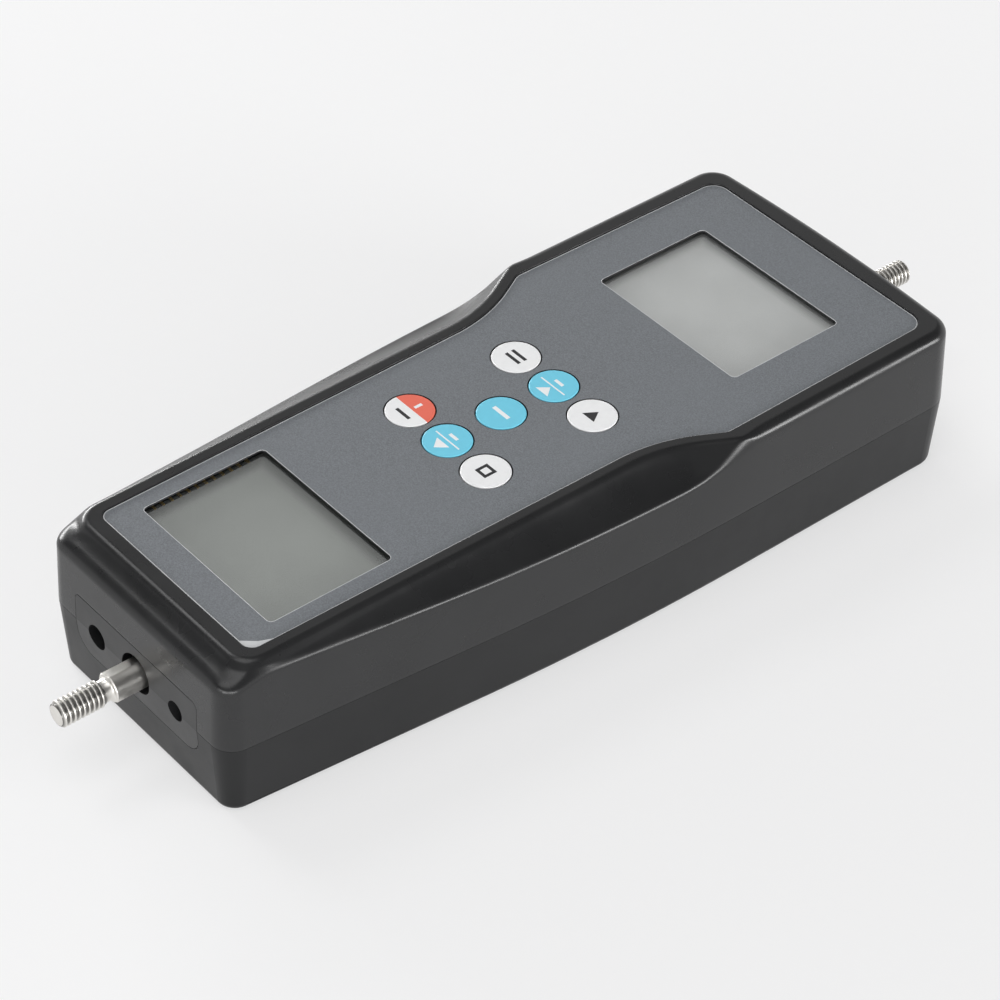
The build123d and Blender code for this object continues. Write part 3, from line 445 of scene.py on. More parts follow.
CASE_PLASTIC = MouldedPlastic("case_plastic", (0.0115, 0.0117, 0.0123), 0.28, level=0.42)
# The lower case: the upper case's plastic, darker in colour and lower in gloss.
LOWER_PLASTIC = MouldedPlastic("lower_case_plastic", (0.009, 0.0092, 0.0097), 0.33, level=0.22)
# Its second colour is painted shade on the panel's upright cut walls.
PANEL_LACQUER = GrainedPanel("panel_lacquer", (0.158, 0.170, 0.184), (0.03, 0.03, 0.032))
# Pale film for the strips along the panel's cut edges, the film's edge with a painted highlight on it, and
# for the bare corner.
EDGE_FILM_AND_HIGHLIGHT = MouldedPlastic("cut_film_and_highlight", (0.60, 0.61, 0.62), 0.4)
KEY_WHITE = (0.89, 0.895, 0.90)
KEY_BLUE = (0.17, 0.63, 0.82)
KEY_RED = (0.82, 0.155, 0.10)
DARK_INK = (0.02, 0.02, 0.022)
PALE_INK = (0.90, 0.91, 0.92)
PLAIN_FINISHES = {
    "case": CASE_PLASTIC,
    "end_plate": MouldedPlastic("end_plate_plastic", (0.0125, 0.0127, 0.0133), 0.36, level=0.44),
    "panel": PANEL_LACQUER,
    "window": ClearSheet("window_sheet", (0.97, 0.98, 0.98)),
    "upper_display": DisplayGlass("upper_display_film", (0.575, 0.565, 0.555), (0.0, 59.35), (22.8, 16.3)),
    "lower_display": DisplayGlass("lower_display_film", (0.31, 0.315, 0.293), (0.0, -66.65), (22.8, 16.3)),
    "display_frame": MouldedPlastic("display_holder", (0.05, 0.05, 0.052), 0.55),
    "gold": TurnedMetal("gold_plate", (0.98, 0.70, 0.26), 0.42),
    "circuit_board": CircuitLaminate("solder_mask"),
    "chip": MouldedPlastic("chip_compound", (0.018, 0.018, 0.02), 0.4),
    "socket": MouldedPlastic("socket_plastic", (0.012, 0.012, 0.013), 0.35),
    "screw_steel": TurnedMetal("zinc_plate", (0.66, 0.67, 0.68), 0.3),
    "plunger": MouldedPlastic("plunger_plastic", (0.06, 0.06, 0.06), 0.5),
    "rod_steel": TurnedMetal("stainless", (0.80, 0.78, 0.74), 0.33, 0.12, 0.0004, 0.06, ThreadShade()),
    "load_cell": TurnedMetal("milled_alloy", (0.78, 0.79, 0.81), 0.33, 0.5, 0.004, 0.08),
    "gauge_foil": TurnedMetal("foil_on_film", (0.72, 0.45, 0.14), 0.35),
    "chassis": TurnedMetal("sheet_alloy", (0.70, 0.71, 0.72), 0.38, 0.8, 0.003, 0.1),
    "insert_brass": TurnedMetal("insert_brass", (0.80, 0.60, 0.28), 0.28),
    "battery": CellSleeve("cell_sleeve", (0.02, 0.16, 0.10), (0.55, 0.58, 0.56), -0.85, 25.0),
    "cradle": MouldedPlastic("cradle_plastic", (0.02, 0.02, 0.022), 0.5),
}


def unit(vector: Array) -> Array:
    """Vectors scaled to length one along their last axis."""
    return vector / np.maximum(np.linalg.norm(vector, axis=-1, keepdims=True), 1e-12)


def rounded_path(points: Sequence[tuple[float, float]], radii: Sequence[float],
                 steps: int = 24) -> list[Array]:
    """Legs of an open path whose inner corners are rounded.

    An arc of radius R in a corner with turn T starts R tan(T / 2) before the corner, and its points are the
    centre plus R times the direction turned evenly from the first leg's normal to the second's.

    Args:
        points: start, corners and end.
        radii: one radius for each corner between start and end.
        steps: points along each arc.

    Returns:
        Alternating straight legs and arcs, each an array of points in order.
    """
    corners = np.asarray(points, float)
    legs: list[Array] = []
    start = corners[0]
    for before, corner, after, radius in zip(corners[:-2], corners[1:-1], corners[2:], radii):
        way_in, way_out = unit(corner - before), unit(after - corner)
        turn = math.atan2(way_in[0] * way_out[1] - way_in[1] * way_out[0], float(way_in @ way_out))
        reach = radius * math.tan(abs(turn) / 2)
        begin = corner - way_in * reach
        side = np.array([-way_in[1], way_in[0]]) * math.copysign(1.0, turn)
        centre = begin + side * radius
        angles = np.linspace(0.0, turn, steps)
        spoke = -side * radius
        turned = np.stack([
            spoke[0] * np.cos(angles) - spoke[1] * np.sin(angles),
            spoke[0] * np.sin(angles) + spoke[1] * np.cos(angles),
        ], axis=1)
        legs.append(np.stack([start, begin]))
        legs.append(centre + turned)
        start = legs[-1][-1]
    legs.append(np.stack([start, corners[-1]]))
    return legs


def resample(path: Array, fractions: Array, along: int | None = None) -> Array:
    """Points at given shares of a path, by its length, or by one coordinate that grows all along it."""
    if along is None:
        lengths = np.concatenate([[0.0], np.cumsum(np.linalg.norm(np.diff(path, axis=0), axis=1))])
    else:
        lengths = path[:, along] - path[0, along]
    wanted = fractions * lengths[-1]
    return np.stack([np.interp(wanted, lengths, path[:, k]) for k in range(path.shape[1])], axis=1)


def circle(radius: float, count: int, centre: tuple[float, float] = (0.0, 0.0)) -> Array:
    """Points evenly round a circle, anticlockwise from +X."""
    angle = np.linspace(0.0, 2 * math.pi, count, endpoint=False)
    return np.stack([centre[0] + radius * np.cos(angle), centre[1] + radius * np.sin(angle)], axis=1)


def slab_outline(width: float, depth: float, radius: float, centre: tuple[float, float]) -> Array:
    """Closed outline of a rounded rectangle, anticlockwise."""
    w, d = width / 2, depth / 2
    legs = rounded_path([(0, -d), (w, -d), (w, d), (-w, d), (-w, -d), (0, -d)], [radius] * 4, 8)
    return np.concatenate([leg[1:] for leg in legs]) + np.asarray(centre)


def surface_mesh(name: str, rings: Array, closed: bool = False) -> bpy.types.Mesh:
    """Mesh of a skin over rings of points.

    Each ring joins the next by four-sided faces that wrap round. The first and last ring are filled, or
    joined to each other where the skin closes on itself. Faces point outwards when the rings run
    anticlockwise seen from the end towards which they advance.

    Args:
        name: name of the mesh.
        rings: array of (ring, point, xyz) in millimetres.
        closed: True where the last ring joins the first.

    Returns:
        The mesh, in metres.
    """
    count, around = rings.shape[:2]
    index = np.arange(count * around).reshape(count, around)
    following = np.roll(index, -1, axis=0) if closed else index[1:]
    here = index if closed else index[:-1]
    quads = np.stack([here, np.roll(here, -1, axis=1), np.roll(following, -1, axis=1), following], axis=-1)
    loops = quads.reshape(-1)
    starts = np.arange(quads.size // 4) * 4
    if not closed:
        loops = np.concatenate([loops, index[0][::-1], index[-1]])
        starts = np.concatenate([starts, [quads.size, quads.size + around]])
    mesh = bpy.data.meshes.new(name)
    mesh.vertices.add(count * around)
    mesh.vertices.foreach_set("co", (rings.reshape(-1) * MM).astype(np.float32))
    mesh.loops.add(len(loops))
    mesh.loops.foreach_set("vertex_index", loops.astype(np.int32))
    mesh.polygons.add(len(starts))
    mesh.polygons.foreach_set("loop_start", starts.astype(np.int32))
    mesh.update(calc_edges=True)
    mesh.validate()
    return mesh


def level_row(outline: Array, height: float) -> Array:
    """An outline in the level plane at a height along Z."""
    return np.column_stack([outline, np.full(len(outline), height)])


def stacked(outlines: Sequence[Array], heights: Sequence[float]) -> Array:
    """Rings in level planes, one outline at each height."""
    return np.stack([level_row(outline, height) for outline, height in zip(outlines, heights)])


def smooth_shading(mesh: bpy.types.Mesh, sharp_over: float = 32.0) -> None:
    """Shade smoothly, with edges sharper than that many degrees left crisp."""
    mesh.polygons.foreach_set("use_smooth", np.ones(len(mesh.polygons), bool))
    mesh.set_sharp_from_angle(angle=math.radians(sharp_over))


def join_meshes(name: str, meshes: Sequence[bpy.types.Mesh]) -> bpy.types.Mesh:
    """One mesh out of several; the separate ones are removed."""
    joined = bmesh.new()
    for mesh in meshes:
        joined.from_mesh(mesh)
        bpy.data.meshes.remove(mesh)
    result = bpy.data.meshes.new(name)
    joined.to_mesh(result)
    joined.free()
    return result


def place_piece(name: str, mesh: bpy.types.Mesh, material: bpy.types.Material, body: str,
                replaces: Sequence[str] = (), sharp_over: float = 32.0) -> bpy.types.Object:
    """Put a finished mesh into the scene as a piece that rides on a body.

    Args:
        name: the piece's name.
        mesh: its mesh, in place.
        material: its finish.
        body: the CAD body it moves with.
        replaces: CAD nodes it stands for.
        sharp_over: angle in degrees past which an edge stays crisp.

    Returns:
        The new object.
    """
    smooth_shading(mesh, sharp_over)
    mesh.materials.clear()
    mesh.materials.append(material)
    piece = bpy.data.objects.new(name, mesh)
    bpy.context.scene.collection.objects.link(piece)
    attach(piece, body)
    if replaces:
        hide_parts(*replaces)
    LOG.info("piece %s: %d faces on %s", name, len(mesh.polygons), body)
    return piece


def carve(mesh: bpy.types.Mesh, cutters: Sequence[bpy.types.Mesh]) -> bpy.types.Mesh:
    """Cut closed shapes out of a closed mesh; returns the new mesh."""
    target = bpy.data.objects.new("carved", mesh)
    bpy.context.scene.collection.objects.link(target)
    helpers = []
    for cutter in cutters:
        helper = bpy.data.objects.new("cutter", cutter)
        bpy.context.scene.collection.objects.link(helper)
        helpers.append(helper)
        step = target.modifiers.new("cut", "BOOLEAN")
        step.operation = "DIFFERENCE"
        step.solver = "EXACT"
        step.object = helper
    bpy.context.view_layer.update()
    result = bpy.data.meshes.new_from_object(target.evaluated_get(bpy.context.evaluated_depsgraph_get()))
    for made in [target, *helpers]:
        old = made.data
        bpy.data.objects.remove(made)
        bpy.data.meshes.remove(old)
    return result


def wedge(x: Array, y: Array, first: tuple[Array, float], second: tuple[Array, float], radius: float,
          bulge: bool) -> tuple[Array, Array]:
    """Rounded corner between two straight sides of an outline.

    Each side is a unit normal n and an offset c, the line n . p = c. The arc's centre is R inside both
    lines, or R outside both in a hollow corner. A point belongs to the corner where its direction from the
    centre lies between the two normals, and its distance out of the outline is then its distance from the
    centre less R.

    Args:
        x, y: places.
        first: normal and offset of the side met first, going anticlockwise.
        second: the same for the next side.
        radius: R.
        bulge: True in an outward corner, False in a hollow one.

    Returns:
        Where the corner holds, and the distance there.
    """
    sign = 1.0 if bulge else -1.0
    (n1, c1), (n2, c2) = first, second
    centre = np.linalg.solve(np.stack([n1, n2]), np.array([c1 - sign * radius, c2 - sign * radius]))
    px, py = sign * (x - centre[0]), sign * (y - centre[1])
    order = math.copysign(1.0, n1[0] * n2[1] - n1[1] * n2[0])
    after_first = (n1[0] * py - n1[1] * px) * order >= 0
    before_second = (px * n2[1] - py * n2[0]) * order >= 0
    ahead = px * (n1[0] + n2[0]) + py * (n1[1] + n2[1]) > 0
    return after_first & before_second & ahead, sign * (np.hypot(px, py) - radius)


def side_line(start: tuple[float, float], end: tuple[float, float]) -> tuple[Array, float]:
    """Unit normal to the right of a line from start to end, and its offset."""
    way = unit(np.subtract(end, start).astype(float))
    normal = np.array([way[1], -way[0]])
    return normal, float(normal @ np.asarray(start, float))


def round_meet(first: Array, second: Array, radius: Array | float) -> Array:
    """Both shapes' common part with a rounded edge: max(max(a, b), -R) joined by |(a + R, b + R)| - R."""
    inner = np.minimum(np.maximum(first, second), -radius)
    return inner + np.hypot(np.maximum(first + radius, 0.0), np.maximum(second + radius, 0.0))


def round_join(first: Array, second: Array, radius: Array | float) -> Array:
    """Both shapes together with a hollow fillet, the mirror image of round_meet."""
    return -round_meet(-first, -second, radius)


@dataclass
class CaseShape:
    """Outlines and heights of the moulded case, the same values as the CAD source."""

    near_y: float = -100.75
    far_y: float = 97.15
    keys_y: float = -3.85
    near_half: float = 31.2
    head_half: float = 40.8
    knee: float = 97.6
    near_corner: float = 5.5
    knee_radius: float = 746.0
    far_corner: float = 7.0
    bow: float = 2.4
    bow_radius: float = 554.88
    split_z: float = 18.2
    rim_z: float = 38.3
    seat_z: float = 37.4
    draft: float = 0.75
    flare_angle: float = math.radians(28.3)
    flare_y: float = 15.65
    waist_half: float = 27.5
    near_panel_half: float = 26.3
    head_panel_half: float = 35.3
    far_panel_half: float = 34.6
    panel_near: float = -90.35
    panel_far: float = 90.15
    side_rim: float = 2.9
    near_rim: float = 3.9
    shoulder_drop: float = 3.6
    side_slope: float = 0.24
    near_drop: float = 3.1
    near_slope: float = 0.05
    rim_round: float = 0.6
    root_round: float = 2.2
    scoop_round: float = 1.2
    ridge_half: float = 32.0
    ridge_blend: float = 2.0
    shoulder: float = 0.9
    head_shoulder: float = 1.6
    end_shoulder: float = 1.5
    panel_corner: float = 2.5
    waist_round: float = 40.0
    far_panel_corner: float = 4.0
    notch_corner: float = 1.6
    notch_half: float = 21.52
    notch_top: float = 25.52
    stud_radius: float = 4.4
    near_flat: float = 26.214
    far_flat: float = 34.21

    def case_half(self, inset: float) -> list[Array]:
        """Legs of the case's right half outline from near to far, drawn in by inset."""
        apex = self.far_y + self.bow / 3
        corners = [
            (0.0, self.near_y + inset),
            (self.near_half - inset, self.near_y + inset),
            (self.head_half - inset, self.near_y + self.knee),
            (self.head_half - inset, apex - inset - self.bow * (1 - inset / self.head_half)),
            (0.0, apex - inset),
        ]
        return rounded_path(corners, [self.near_corner - min(inset, 4.0), self.knee_radius,
                                      self.far_corner - min(inset, 4.0)])

    def panel_half(self, grow: float) -> list[Array]:
        """Legs of the panel's right half outline from near to far, grown by grow."""
        lift = grow * math.tan(self.flare_angle / 2)
        top = self.flare_y + (self.head_panel_half - self.waist_half) / math.tan(self.flare_angle)
        corners = [
            (0.0, self.panel_near - grow),
            (self.near_panel_half + grow, self.panel_near - grow),
            (self.waist_half + grow, self.flare_y - lift),
            (self.head_panel_half + grow, top - lift),
            (self.far_panel_half + grow, self.panel_far + grow),
            (0.0, self.panel_far + grow),
        ]
        return rounded_path(corners, [self.panel_corner + grow, self.waist_round - grow,
                                      self.panel_corner + grow, self.far_panel_corner + grow])

    def ring(self, legs: list[Array]) -> Array:
        """Closed outline with the same count of points in matching stretches for case and panel.

        The half outline is cut into near edge, near corner, side, far corner and far edge; the side is shared
        out evenly in Y, the corners by length, and the left half is the mirror image. Points on the near and
        the far edge crowd round the ends of the end plate's notch and of the stud's hole.
        """
        notch = self.notch_half - self.notch_corner * (1 - np.sin(QUARTER))
        near = np.concatenate([np.linspace(0.0, 18.9, 10), notch, [self.notch_half + 0.02, 22.6, 24.2]])
        near = near / self.near_flat
        far = np.concatenate([self.stud_radius * np.sin(QUARTER), [self.stud_radius + 0.02, 6.0, 9.0]])
        far = np.concatenate([far, np.linspace(12.0, self.far_flat, 12)]) / self.far_flat
        parts = [
            (legs[0], near, None),
            (legs[1], np.linspace(0.0, 1.0, 16, endpoint=False), None),
            (np.concatenate(legs[2:-2]), np.linspace(0.0, 1.0, 230, endpoint=False), 1),
            (legs[-2], np.linspace(0.0, 1.0, 18, endpoint=False), None),
            (legs[-1], 1.0 - far[::-1], None),
        ]
        right = np.concatenate([resample(leg, shares, along) for leg, shares, along in parts])
        return np.concatenate([right, right[-2:0:-1] * (-1.0, 1.0)])

    def side_distance(self, x: Array, y: Array) -> Array:
        """Distance out of the case's outline in plan, negative inside."""
        x = np.abs(x)
        apex = self.far_y + self.bow / 3
        near = (np.array([0.0, -1.0]), -self.near_y)
        lower = side_line((self.near_half, self.near_y), (self.head_half, self.near_y + self.knee))
        upper = (np.array([1.0, 0.0]), self.head_half)
        far = side_line((self.head_half, apex - self.bow), (0.0, apex))
        mirrored = (far[0] * (-1.0, 1.0), far[1])
        sides = [near, lower, upper, far, mirrored]
        out = np.max([n[0] * x + n[1] * y - c for n, c in sides], axis=0)
        rounds = (self.near_corner, self.knee_radius, self.far_corner, self.bow_radius)
        for first, second, radius in zip(sides[:-1], sides[1:], rounds):
            held, value = wedge(x, y, first, second, radius, True)
            out = np.maximum(out, np.where(held, value, -np.inf))
        return out

    def platform_distance(self, x: Array, y: Array) -> Array:
        """Distance out of the raised platform's rim in plan, negative inside."""
        x = np.abs(x)
        rim, angle = self.side_rim, self.flare_angle
        near_end = self.panel_near - self.near_rim
        waist = (self.waist_half + rim, self.flare_y - rim * math.tan(angle / 2))
        near = (np.array([0.0, -1.0]), -near_end)
        lower = side_line((self.near_panel_half + rim + 0.1, near_end), waist)
        flare = side_line(waist, (waist[0] + math.sin(angle), waist[1] + math.cos(angle)))
        from_near, from_lower, from_flare = (n[0] * x + n[1] * y - c for n, c in (near, lower, flare))
        side = np.minimum(from_lower, from_flare)
        held, value = wedge(x, y, lower, flare, self.waist_round - self.side_rim, False)
        side = np.where(held, value, side)
        out = np.maximum(from_near, side)
        held, value = wedge(x, y, near, lower, self.panel_corner + self.side_rim, True)
        return np.where(held, value, out)

    def ridge(self) -> float:
        """Height that the side scoops' slopes would reach on the middle line."""
        return self.rim_z - self.shoulder_drop + self.side_slope * self.ridge_half

    def shoulder_round(self, y: Array) -> Array:
        """Radius of the shoulder edge: wider round the head and the near end, by steps 3 t^2 - 2 t^3."""
        head = np.clip((y - self.keys_y - 28.0) / 14.0, 0.0, 1.0)
        end = np.clip((self.near_y + 14.0 - y) / 12.0, 0.0, 1.0)
        return (self.shoulder + self.head_shoulder * head * head * (3 - 2 * head)
                + self.end_shoulder * end * end * (3 - 2 * end))

    def field(self, p: Array) -> Array:
        """Signed distance, nearly, out of the upper case's outer skin.

        The platform is what lies under its rim and inside a skirt that falls at 45 degrees. The scoops lie
        under two gentle slopes. Both are joined with a hollow fillet, and the drafted side walls cut them off
        with a rounded shoulder, tight along the scoops and fuller round the head.
        """
        x, y, z = p[..., 0], p[..., 1], p[..., 2]
        skirt = (self.platform_distance(x, y) + z - self.rim_z) / math.sqrt(2)
        platform = round_meet(z - self.rim_z, skirt, self.rim_round)
        across = np.sqrt(x * x + self.ridge_blend ** 2)
        sides = (z - self.ridge() + self.side_slope * across) / math.hypot(1.0, self.side_slope)
        front = z - self.rim_z + self.near_drop - self.near_slope * (y - self.near_y)
        front = front / math.hypot(1.0, self.near_slope)
        top = round_join(platform, round_meet(sides, front, self.scoop_round), self.root_round)
        top = np.maximum(top, z - self.rim_z)
        slope = self.draft / (self.rim_z - self.split_z)
        wall = (self.side_distance(x, y) + slope * (z - self.split_z)) / math.hypot(1.0, slope)
        return round_meet(top, wall, self.shoulder_round(y))

    def settle(self, points: Array, rounds: int = 7) -> Array:
        """Points moved on to the skin: each step goes back along the slope of the field by field / slope."""
        tiny = 0.004
        for _ in range(rounds):
            value = self.field(points)[..., None]
            slope = np.stack([
                (self.field(points + tiny * axis) - self.field(points - tiny * axis)) / (2 * tiny)
                for axis in np.eye(3)
            ], axis=-1)
            points = points - value * slope / np.maximum((slope * slope).sum(-1, keepdims=True), 0.05)
        return points


@dataclass
class Housing:
    """Two-part moulded case and its near end plate."""

    shape: CaseShape = field(default_factory=CaseShape)
    wall: float = 2.8
    panel_gap: float = 0.15
    lip_round: float = 0.16
    shoulder_width: float = 1.7
    roof_z: float = 35.2
    inner_step_z: float = 30.5

    def foot(self, outer: Array) -> Array:
        """Height of the upper case's lower edge at each point of its outline.

        It is the parting plane, raised to the end plate's notch on the near side, with rounded corners, and
        over the stud's round hole on the far side.
        """
        s = self.shape
        x, y = np.abs(outer[:, 0]), outer[:, 1]
        corner = s.notch_corner
        into = np.clip(x - (s.notch_half - corner), 0.0, corner)
        notch = s.notch_top - corner + np.sqrt(corner ** 2 - into ** 2)
        arch = s.split_z + np.sqrt(np.maximum(s.stud_radius ** 2 - x ** 2, 0.0))
        height = np.where((y < s.near_y + 1.0) & (x <= s.notch_half + 0.001), notch, s.split_z)
        return np.where((y > s.far_y - 5.0) & (x <= s.stud_radius), arch, height)

    def skin(self) -> Array:
        """Rings of the upper case from the panel recess over the rim and down the wall, then back inside.

        A guide point runs in plan from the recess outline P to the wall outline Q as P + (Q - P) t, at the
        height of the plain slopes, and down the wall; settle() then moves it on to the rounded skin.
        """
        s = self.shape
        inner = s.ring(s.panel_half(self.panel_gap))
        outer = s.ring(s.case_half(0.0))
        away = np.linalg.norm(outer - inner, axis=1, keepdims=True)
        inward = (inner - outer) / away
        rim = self.lip_round
        lip_rows = [(0.0, s.seat_z), (0.0, 37.7), (0.0, 38.0), (0.0, s.rim_z - rim), (0.05, s.rim_z - 0.05),
                    (rim, s.rim_z)]
        lip = [level_row(inner - out * inward, z) for out, z in lip_rows]
        guides = []
        for share in np.linspace(0.0, 1.0, 44)[1:]:
            plan = inner - inward * (rim + (away - rim - self.shoulder_width) * share)
            guides.append(np.column_stack([plan, self.plain_height(plan)]))
        edge_height = guides[-1][:, 2:]
        for back, down in ((1.35, 0.0), (1.1, 0.0), (0.9, 0.05), (0.78, 0.25), (0.75, 0.5), (0.72, 0.8),
                           (0.7, 1.2), (0.7, 1.6), (0.68, 2.0)):
            guides.append(np.concatenate([outer + inward * back, edge_height - down], axis=1))
        foot = self.foot(outer)[:, None]
        drawn_in = s.draft * (foot - s.split_z) / (s.rim_z - s.split_z)
        for fall in np.linspace(0.0, 1.0, 20)[1:]:
            height = edge_height - 2.0 - (edge_height - 2.0 - foot - 0.35) * fall
            guides.append(np.concatenate([outer + inward * (drawn_in + 0.5 * (1 - fall)), height], axis=1))
        outside = s.settle(np.stack(guides))
        groove = [(0.03, 0.05), (0.12, 0.01), (0.45, 0.0)]
        base = [np.concatenate([outer + inward * (i + drawn_in), foot + z], axis=1) for i, z in groove]
        inside_plan = s.ring(s.case_half(self.wall))
        hidden = s.ring(s.panel_half(-1.0))
        inside = [
            np.concatenate([inside_plan, foot], axis=1),
            level_row(inside_plan, self.inner_step_z),
            level_row(s.ring(s.panel_half(2.0)), self.roof_z),
            level_row(hidden, self.roof_z),
            level_row(hidden, s.seat_z),
        ]
        return np.concatenate([np.stack(rows) for rows in (lip, outside, base, inside)])[::-1]

    def plain_height(self, plan: Array) -> Array:
        """Height of the top before any edge is rounded: the higher of skirt and scoops, under the rim."""
        s = self.shape
        x, y = plan[:, 0], plan[:, 1]
        skirt = np.minimum(s.rim_z, s.rim_z - s.platform_distance(x, y))
        sides = s.ridge() - s.side_slope * np.abs(x)
        front = s.rim_z - s.near_drop + s.near_slope * (y - s.near_y)
        return np.maximum(skirt, np.minimum(sides, front))

    def build(self) -> None:
        """Make the upper case's skin, and dress the lower case."""
        material = CASE_PLASTIC.material()
        skin = surface_mesh("upper_case_skin", self.skin(), closed=True)
        place_piece("upper_case_skin", skin, material, Body.INSTRUMENT.value, ["upper_case"])
        dress("lower_case", LOWER_PLASTIC.material())


def dress(node: str, material: bpy.types.Material) -> None:
    """Give a CAD node its finish."""
    target = frame["nodes"][node]
    target.data.materials.clear()
    target.data.materials.append(material)
    LOG.info("dressed %s with %s", node, material.name)


@dataclass(frozen=True)
class Opening:
    """Rounded rectangular opening on the middle line, placed from the keys' middle."""

    width: float
    depth: float
    from_keys: float
    corner: float = 1.2

    def outline(self, keys_y: float, grow: float = 0.0) -> Array:
        """Its outline, grown by grow all round."""
        middle = (0.0, keys_y + self.from_keys)
        return slab_outline(self.width + 2 * grow, self.depth + 2 * grow, self.corner + grow, middle)


@dataclass
class FrontPanel:
    """Grey panel, the black seat under it and the clear sheets."""

    shape: CaseShape = field(default_factory=CaseShape)
    windows: tuple[Opening, ...] = (Opening(44.8, 31.6, 63.2), Opening(44.4, 31.3, -62.8))
    display_holes: tuple[Opening, ...] = (Opening(50.6, 37.6, 63.2), Opening(48.6, 35.6, -62.8))
    key_hole_radius: float = 5.8
    seat_inset: float = 0.9
    seat_bottom: float = 35.2
    cutter_reach: tuple[float, float] = (30.0, 40.0)
    panel_top: float = 37.9
    edge_inset: float = 0.02
    edge_width: float = 0.2
    cut_width: float = 0.1
    band_proud: float = 0.03
    band_depth: float = 0.1
    bare_corner: tuple[tuple[float, float], ...] = ((22.3, -90.35), (26.3, -90.35), (26.42, -83.9))
    bare_bow: tuple[float, float] = (24.9, -87.3)

    def build(self) -> None:
        """Dress the panel and its sheets, and lay the seat that shows through gaps and windows."""
        dress("panel_overlay", PANEL_LACQUER.material())
        sheet = PLAIN_FINISHES["window"].material()
        dress("upper_window", sheet)
        dress("lower_window", sheet)
        self.build_seat()
        self.build_borders()

    def build_seat(self) -> None:
        """Seat of the panel: its outline drawn in, with openings for the displays, carved in one go."""
        s = self.shape
        outline = s.ring(s.panel_half(-self.seat_inset))
        seat = surface_mesh("panel_seat", stacked([outline, outline], [self.seat_bottom, s.seat_z]))
        holes = [hole.outline(s.keys_y) for hole in self.display_holes]
        holes += [circle(self.key_hole_radius, 72, key_centre(place)) for place in KeyPlace]
        cutters = [surface_mesh("cutter", stacked([hole, hole], self.cutter_reach)) for hole in holes]
        place_piece("panel_seat", carve(seat, cutters), bpy.data.materials[CASE_PLASTIC.name],
                    Body.INSTRUMENT.value)

    def build_borders(self) -> None:
        """Pale strips along the cut edges of the panel and its windows, the film's pale edge with a painted
        highlight on it, and the bare corner where the panel is clipped.
        """
        s = self.shape
        inset = self.edge_inset
        outlines = [(s.ring(s.panel_half(-inset)), s.ring(s.panel_half(-inset - self.edge_width)))]
        outlines += [(w.outline(s.keys_y, self.cut_width), w.outline(s.keys_y)) for w in self.windows]
        top = self.panel_top + self.band_proud
        low = top - self.band_depth
        bands = []
        # Each strip lies just proud of the panel's top along an edge: the pale cut edge with a painted
        # highlight.
        for outer, inner in outlines:
            rings = stacked([outer, outer, inner, inner], [low, top - 0.02, top, low])
            bands.append(surface_mesh("band", rings, closed=True))
        legs = rounded_path(self.bare_corner, [s.panel_corner])
        bare = np.concatenate([legs[0], legs[1][1:], legs[2][1:], [self.bare_bow]])
        bands.append(surface_mesh("band", stacked([bare, bare], [low, top])))
        place_piece("panel_cut_edges_and_highlight", join_meshes("bands", bands), EDGE_FILM_AND_HIGHLIGHT.material(),
                    Body.INSTRUMENT.value)


def key_centre(place: KeyPlace) -> tuple[float, float]:
    """Middle of a key in plan."""
    column, row = place.value
    return column * KEY_PITCH_X, CaseShape.keys_y + row * KEY_PITCH_Y


